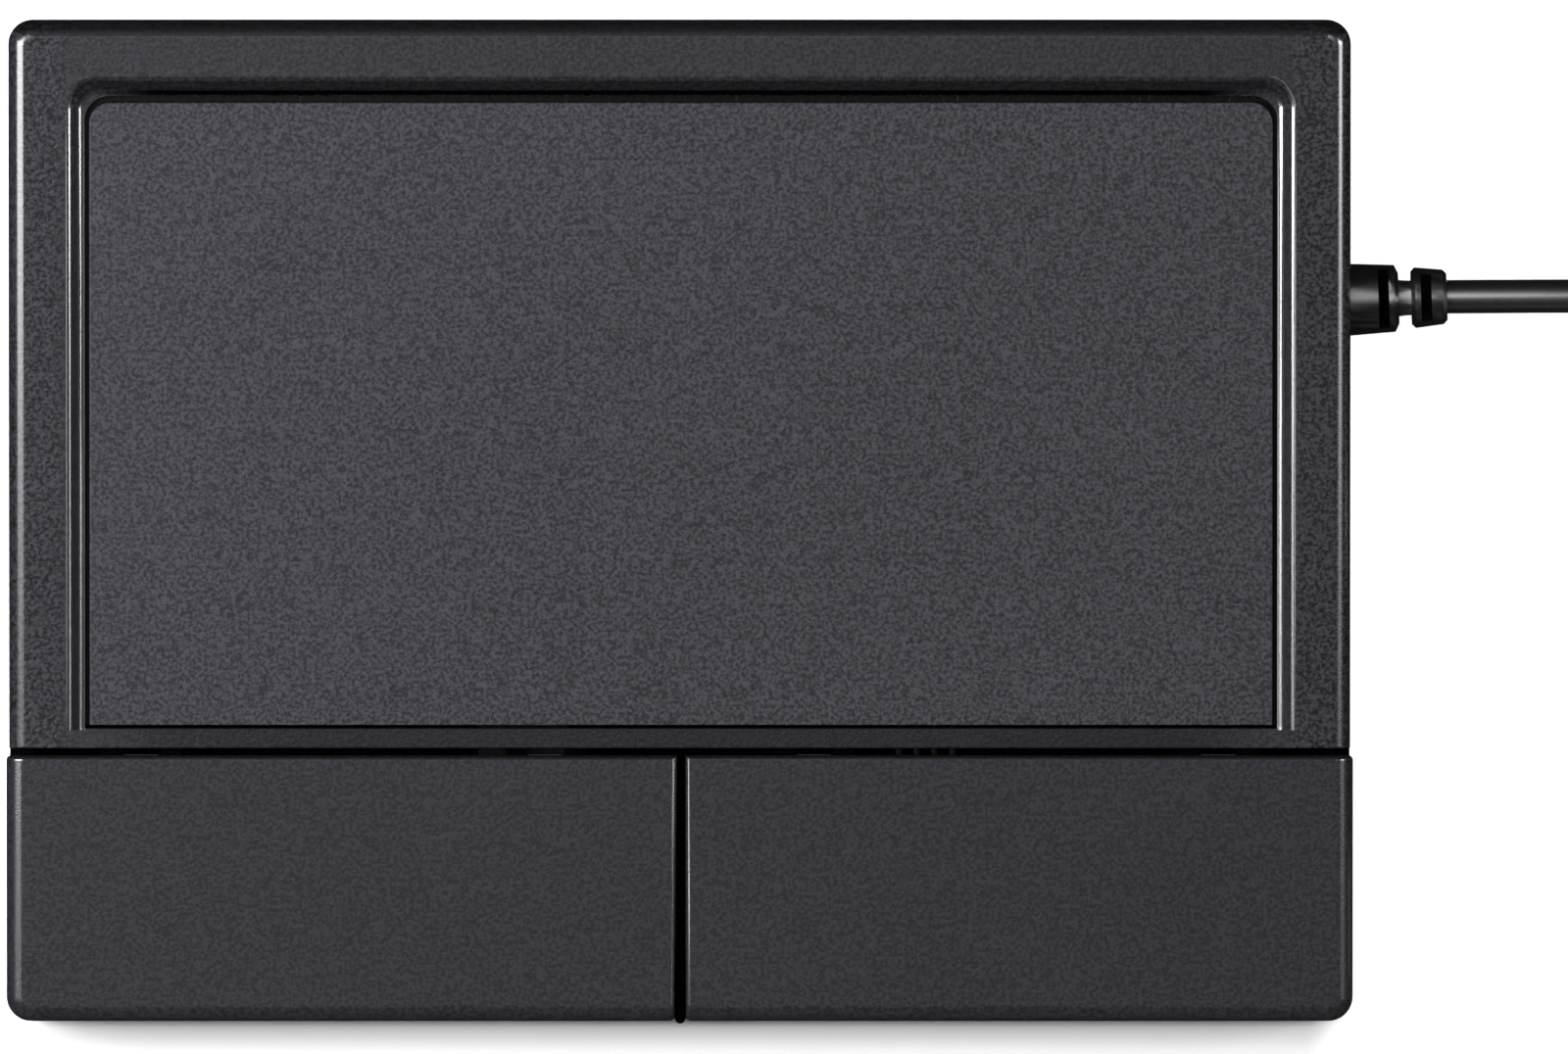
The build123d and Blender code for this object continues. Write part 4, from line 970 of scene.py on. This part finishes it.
@dataclass
class Plug:
    """Moulded plug with its grip grooves, its small boot and its sheet shell."""

    end_x: float = 122.5 * MM
    middle_y: float = -37.5 * MM
    width: float = 15.0 * MM
    height: float = 7.6 * MM
    body_length: float = 19.0 * MM
    corner: float = 2.0 * MM
    edge: float = 0.7 * MM
    softness: float = 0.1 * MM
    boot_length: float = 7.0 * MM
    boot_radius: float = 2.7 * MM
    boot_tip_radius: float = 2.0 * MM
    boot_tip_edge: float = 0.3 * MM
    ring_count: int = 3
    ring_depth: float = 0.35 * MM
    ring_share: float = 0.8
    grip_count: int = 3
    grip_pitch: float = 2.6 * MM
    grip_width: float = 1.1 * MM
    grip_depth: float = 0.4 * MM
    grip_corner: float = 0.45
    shell_width: float = 12.0 * MM
    shell_height: float = 4.5 * MM
    shell_length: float = 11.75 * MM
    shell_seat: float = 1.0 * MM
    shell_wall: float = 0.3 * MM
    shell_corner: float = 0.5 * MM
    shell_softness: float = 0.06 * MM
    window: float = 2.2 * MM
    window_setback: float = 5.0 * MM
    window_spread: float = 2.9 * MM

    def __post_init__(self) -> None:
        """Work out the places that follow from the sizes."""
        self.middle_z = self.height / 2
        self.back_x = self.end_x - self.boot_length
        self.front_x = self.back_x - self.body_length
        self.tip_x = self.front_x - self.shell_length

    def _block(self, name: str, start: float, end: float, width: float, height: float) -> Piece:
        """Add a box around the plug's axis.

        Args:
            name: The box's name.
            start: Its lower end along X in metres.
            end: Its upper end along X.
            width: Its size along Y.
            height: Its size along Z.

        Returns:
            The box.
        """
        low = (start, self.middle_y - width / 2, self.middle_z - height / 2)
        high = (end, self.middle_y + width / 2, self.middle_z + height / 2)
        return add_box(name, low, high)

    def _grip(self, side: int, step: int) -> Piece:
        """Make the tool for one grip groove.

        Args:
            side: 1 for the upper face, -1 for the lower one.
            step: The groove's number from the middle one, 0.

        Returns:
            The tool.
        """
        middle_x = (self.front_x + self.back_x) / 2 + step * self.grip_pitch
        outer = self.middle_z + side * self.height
        inner = self.middle_z + side * (self.height / 2 - self.grip_depth)
        half = self.width / 2 - self.corner
        tool = add_box(
            "grip",
            (middle_x - self.grip_width / 2, self.middle_y - half, inner),
            (middle_x + self.grip_width / 2, self.middle_y + half, outer),
        )
        bevel_edges(tool, Vector((0, 0, 1)), self.grip_width * self.grip_corner, 4)
        return tool

    def _boot(self) -> Piece:
        """Turn the plug's small ringed boot.

        Returns:
            The boot.
        """
        steps = 2 * self.ring_count + 1
        pitch = self.boot_length / steps
        profile = [(self.back_x - self.edge, self.boot_radius)]
        for ring in range(self.ring_count):
            start = self.back_x + (2 * ring + 1) * pitch
            end = start + self.ring_share * pitch
            radius = self.boot_radius + (self.boot_tip_radius - self.boot_radius) * (2 * ring + 1.5) / steps
            groove = radius - self.ring_depth
            profile += [(start, radius), (start, groove), (end, groove), (end, radius)]
        profile += [
            (self.end_x - self.boot_tip_edge, self.boot_tip_radius),
            (self.end_x, self.boot_tip_radius - self.boot_tip_edge),
        ]
        boot = turn_solid("plug_boot", profile, (self.middle_y, self.middle_z), 48)
        soften(boot, self.softness)
        return boot

    def _body(self) -> Piece:
        """Make the moulded body with its boot.

        Returns:
            The body.
        """
        body = self._block("plug_cover", self.front_x, self.back_x, self.width, self.height)
        bevel_edges(body, Vector((1, 0, 0)), self.corner, 6)
        round_edges(body, self.edge, 3, 60.0)
        last = self.grip_count // 2
        for side, step in product((-1, 1), range(-last, last + 1)):
            cut(body, self._grip(side, step))
        ends = (self.front_x - self.shell_seat, self.front_x + self.shell_seat)
        cut(body, self._block("seat", *ends, self.shell_width, self.shell_height))
        soften(body, self.softness, limit=50.0)
        boot = self._boot()
        take(body)
        boot.select_set(True)
        bpy.ops.object.join()
        return body

    def _shell(self) -> Piece:
        """Fold the sheet shell and cut its windows.

        Returns:
            The shell.
        """
        ends = (self.tip_x, self.front_x + self.shell_seat)
        shell = self._block("plug_sheet", *ends, self.shell_width, self.shell_height)
        bevel_edges(shell, Vector((1, 0, 0)), self.shell_corner, 4)
        pick_parts(shell, Pick.FACES, lambda face: abs(face.normal.x) > 0.9)
        bpy.ops.mesh.delete(type="FACE")
        bpy.ops.object.mode_set(mode="OBJECT")
        modify(shell, "SOLIDIFY", thickness=self.shell_wall, offset=-1.0, use_even_offset=True)
        reach = Vector((self.window / 2, self.window / 2, self.height))
        for side in (-1, 1):
            middle_y = self.middle_y + side * self.window_spread
            middle = Vector((self.tip_x + self.window_setback, middle_y, self.middle_z))
            saw_box(shell, middle - reach, middle + reach)
        soften(shell, self.shell_softness)
        return shell

    def build(self) -> list[Piece]:
        """Build and dress the plug.

        Returns:
            The pieces that sit on the cord's far end.
        """
        body = put_on(self._body(), "housing", "cord_sheath", Palette.GRIP, "plug_body")
        shell = put_on(self._shell(), "housing", "plug_steel", Palette.PLUG, "plug_shell")
        return [body, shell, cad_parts["plug_tongue"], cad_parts["plug_contacts"]]


@dataclass
class Cord:
    """The cord outside the body, from the boot through the coil to the plug."""

    diameter: float = 3.0 * MM
    length: float = 1.492
    run: tuple = ((68.67, 20.18, 6.5), (86.0, 20.3, 6.5), (97.0, 20.15, 1.5), (107.0, 20.1, 1.5))
    tail: tuple = (
        (113.0, 20.1, 11.76), (125.0, 20.1, 11.76), (138.0, 13.5, 7.0),
        (143.0, -1.0, 1.5), (143.5, -15.0, 1.5), (141.0, -24.0, 1.5),
        (137.0, -32.5, 2.2), (129.5, -37.5, 3.8), (122.5, -37.5, 3.8),
    )
    coil_x: float = 110.0
    pitch: float = 3.42
    inner_radius: float = 12.85
    layer_turns: int = 3
    layers: int = 4
    points_each_turn: int = 24

    def coil_points(self) -> list[Triple]:
        """Return the coil's turns: spirals in and out in turn, a layer above the other.

        Returns:
            Points in millimetres.
        """
        outer = self.inner_radius + self.layer_turns * self.pitch
        centre_y = self.run[-1][1] - outer
        floor = self.run[-1][2]
        spread = 1 / cos(pi / self.points_each_turn)
        points = []
        for step in range(self.layers * self.layer_turns * self.points_each_turn + 1):
            turns = step / self.points_each_turn
            inward = abs((turns + self.layer_turns) % (2 * self.layer_turns) - self.layer_turns)
            radius = (outer - self.pitch * inward) * spread
            angle = pi / 2 - 2 * pi * turns
            layer, share = divmod(turns / self.layer_turns + 0.5, 1)
            climb = min(1.0, max(0.0, (share - 0.5) * 2 * self.layer_turns + 0.5))
            level = min(self.layers - 1, max(0.0, layer - 1 + climb * climb * (3 - 2 * climb)))
            x, y = self.coil_x + radius * cos(angle), centre_y + radius * sin(angle)
            points.append((x, y, floor + level * self.pitch))
        return points

    def build(self, ends: list[Piece]) -> Piece:
        """Draw the cord as one smooth spline.

        Args:
            ends: The pieces that sit on it; not used.

        Returns:
            The cord.
        """
        points = [*self.run, *self.coil_points(), *self.tail]
        curve = bpy.data.curves.new("cord", "CURVE")
        curve.dimensions = "3D"
        spline = curve.splines.new("NURBS")
        spline.points.add(len(points) - 1)
        for slot, (x, y, z) in zip(spline.points, points):
            slot.co = (x * MM, y * MM, z * MM, 1)
        spline.order_u = 3
        spline.use_endpoint_u = True
        spline.resolution_u = 4
        curve.bevel_depth = self.diameter / 2
        curve.bevel_resolution = 5
        curve.use_fill_caps = True
        cord = bpy.data.objects.new("cord", curve)
        bpy.context.scene.collection.objects.link(cord)
        put_on(cord, "housing", "cord_sheath", Palette.CORD, "cord_run", "cord_coil", "cord_tail")
        return cord


@dataclass
class Insides:
    """The boards, switches, wires and other pieces behind the shells."""

    groups: tuple = (
        (Palette.TAPE, "touch_adhesive"),
        (Palette.TOUCH_BOARD, "touch_board"),
        (Palette.CHIP, "touch_chip", "main_chip"),
        (Palette.CERAMIC, "touch_parts", "main_parts"),
        (Palette.BOARD, "main_board"),
        (Palette.STEEL, "crystal", "switch_covers", "switch_domes", "switch_terminals"),
        (Palette.IVORY, "board_connectors", "wire_header", "wire_plug"),
        (Palette.RIBBON, "ribbon_cable"),
        (Palette.SWITCH, "switch_bases"),
        (Palette.PLUNGER, "left_switch_plunger", "right_switch_plunger"),
        (Palette.LEADS, "lead_wires"),
        (Palette.CORD, "inner_cord"),
        (Palette.SCREW, "board_screws"),
        (Palette.TONGUE, "plug_tongue"),
        (Palette.GOLD, "plug_contacts"),
    )

    def build(self) -> None:
        """Dress every solid that is shown as it is."""
        for finish, *nodes in self.groups:
            for node in nodes:
                finish.dress(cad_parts[node])
            log.info("%s: %d inner pieces", finish.name, len(nodes))


@dataclass
class Lamp:
    """One soft panel of the studio, aimed at the object."""

    name: str
    tilt: float
    turn: float
    distance: float
    size: Pair
    power: float

    def build(self, target: Vector) -> None:
        """Hang the panel above the target.

        Args:
            target: The place that it lights.
        """
        away = Vector((sin(self.tilt) * cos(self.turn), sin(self.tilt) * sin(self.turn), cos(self.tilt)))
        place = target + away * self.distance
        deselect()
        bpy.ops.object.light_add(type="AREA", location=place)
        lamp = bpy.context.object
        lamp.name = self.name
        lamp.rotation_mode = "QUATERNION"
        lamp.rotation_quaternion = (place - target).to_track_quat("Z", "Y")
        lamp.data.shape = "RECTANGLE"
        lamp.data.size, lamp.data.size_y = self.size
        lamp.data.energy = self.power
        lamp.visible_camera = False


@dataclass
class Studio:
    """White floor, soft panels and the camera straight above."""

    view_middle: Pair = (9.33 * MM, -0.44 * MM)
    view_width: float = 140.1 * MM
    top_height: float = 15.0 * MM
    camera_distance: float = 4.5
    sensor: float = 36.0
    floor_reach: float = 3.0
    floor_drop: float = 0.05 * MM
    floor_colour: Triple = (0.86, 0.86, 0.86)
    floor_stain: float = 0.98
    floor_grain: float = 30 * MM
    floor_lift: float = 0.14
    floor_glow: float = 0.8
    glow_depth: Pair = (-46 * MM, -38 * MM)
    contact: Pair = (-45.5 * MM, -44.5 * MM)
    painted_contact_shadow: float = 0.26
    glow_width: Pair = (56 * MM, 60.5 * MM)
    under_front: Pair = (-44.6 * MM, -43.6 * MM)
    under_back: Pair = (43.4 * MM, 44.6 * MM)
    under_side: Pair = (58.5 * MM, 59.8 * MM)
    ambient: float = 0.2
    mirror_level: float = 0.01
    lamps: tuple = (
        Lamp("left_panel", radians(41), radians(177), 0.5, (0.133, 0.35), 2.42),
        Lamp("right_panel", radians(50), radians(3), 0.7, (0.16, 0.25), 1.3),
        Lamp("overhead_panel", radians(14.5), radians(125), 1.0, (0.6, 0.75), 2.55),
        Lamp("front_panel", radians(75), radians(-90), 1.0, (1.2, 0.4), 0.08),
    )

    def _lift(self, graph: Graph) -> Flow:
        """Work out how far each place of the floor glows: a painted glow that lightens the object's shadows
        at the sides and back, a weaker glow in front, and a painted contact shadow that takes glow away just
        in front of the object.

        Args:
            graph: The floor's nodes.

        Returns:
            The strength of the glow.
        """
        across, along = graph.axes("X", "Y")
        across = abs(across)
        inner = 1 - graph.fade(across, *self.under_side)
        covered = inner * graph.fade(along, *self.under_front) * (1 - graph.fade(along, *self.under_back))
        # Painted glow: full away from the front of the object, to lighten its shadows there.
        glow = graph.fade(along, *self.glow_depth).at_least(graph.fade(across, *self.glow_width))
        # Painted contact shadow: it takes glow away in a strip just in front of the object.
        shade = graph.fade(along, *self.contact) * self.painted_contact_shadow
        level = glow * (self.floor_glow - self.floor_lift) + self.floor_lift - shade * (1 - glow)
        seen = (graph.ray("Is Camera Ray") + graph.ray("Is Transmission Ray")).at_most(1.0)
        return seen * (1 - covered) * level

    def _floor(self) -> None:
        """Lay a pale floor that the camera sees as white, with a painted glow that lightens the object's
        shadows except in front, and a painted contact shadow there.
        """
        deselect()
        bpy.ops.mesh.primitive_plane_add(size=2 * self.floor_reach, location=(0, 0, -self.floor_drop))
        floor = settle("floor")
        material = bpy.data.materials.new("pale_floor")
        graph = Graph(material)
        stained = tuple(self.floor_stain * level for level in self.floor_colour)
        colour = graph.blend(graph.noise(self.floor_grain, 3.0), stained, self.floor_colour)
        diffuse = graph.node("ShaderNodeBsdfDiffuse", {}, {"Color": colour})
        calm = graph.mix(graph.ray("Is Glossy Ray"), diffuse, graph.glow(self.mirror_level))
        cloth = graph.node("ShaderNodeAddShader", {}, {0: calm, 1: graph.glow(self._lift(graph))})
        under = graph.node("ShaderNodeNewGeometry", {}, {}, "Backfacing")
        clear = graph.node("ShaderNodeBsdfTransparent", {}, {})
        graph.node("ShaderNodeOutputMaterial", {}, {"Surface": graph.mix(under, cloth, clear)})
        floor.data.materials.append(material)

    def _world(self) -> None:
        """Fill the room with a dim light that the camera sees as white."""
        world = bpy.data.worlds.new("studio_air")
        bpy.context.scene.world = world
        graph = Graph(world)
        seen = graph.ray("Is Camera Ray") + graph.ray("Is Transmission Ray")
        glossy = graph.ray("Is Glossy Ray")
        level = (seen + (glossy * self.mirror_level + (1 - glossy) * self.ambient)).at_most(1.0)
        air = graph.node("ShaderNodeBackground", {}, {"Color": WHITE, "Strength": level})
        graph.node("ShaderNodeOutputWorld", {}, {"Surface": air})

    def _camera(self) -> None:
        """Hang the camera straight above, framed as the photograph."""
        deselect()
        height = self.top_height + self.camera_distance
        bpy.ops.object.camera_add(location=(*self.view_middle, height), rotation=(0, 0, 0))
        camera = bpy.context.object
        camera.name = "camera"
        camera.data.sensor_width = self.sensor
        camera.data.lens = self.sensor * self.camera_distance / self.view_width
        camera.data.clip_end = 20.0
        bpy.context.scene.camera = camera

    def build(self) -> None:
        """Set up the floor, the air, the lamps and the camera."""
        self._floor()
        self._world()
        self._camera()
        for lamp in self.lamps:
            lamp.build(Vector((0, 0, self.top_height)))
        bpy.context.scene.view_settings.view_transform = "Standard"


def main() -> None:
    """Build the trackpad's looks in order."""
    logging.basicConfig(level=logging.INFO, format="%(name)s %(message)s")
    Studio().build()
    boot = Boot().build()
    ends = Plug().build()
    Cord().build([boot, *ends])
    Housing().build()
    Buttons().build()
    Insides().build()
    deselect()


if __name__ == "__main__":
    main()
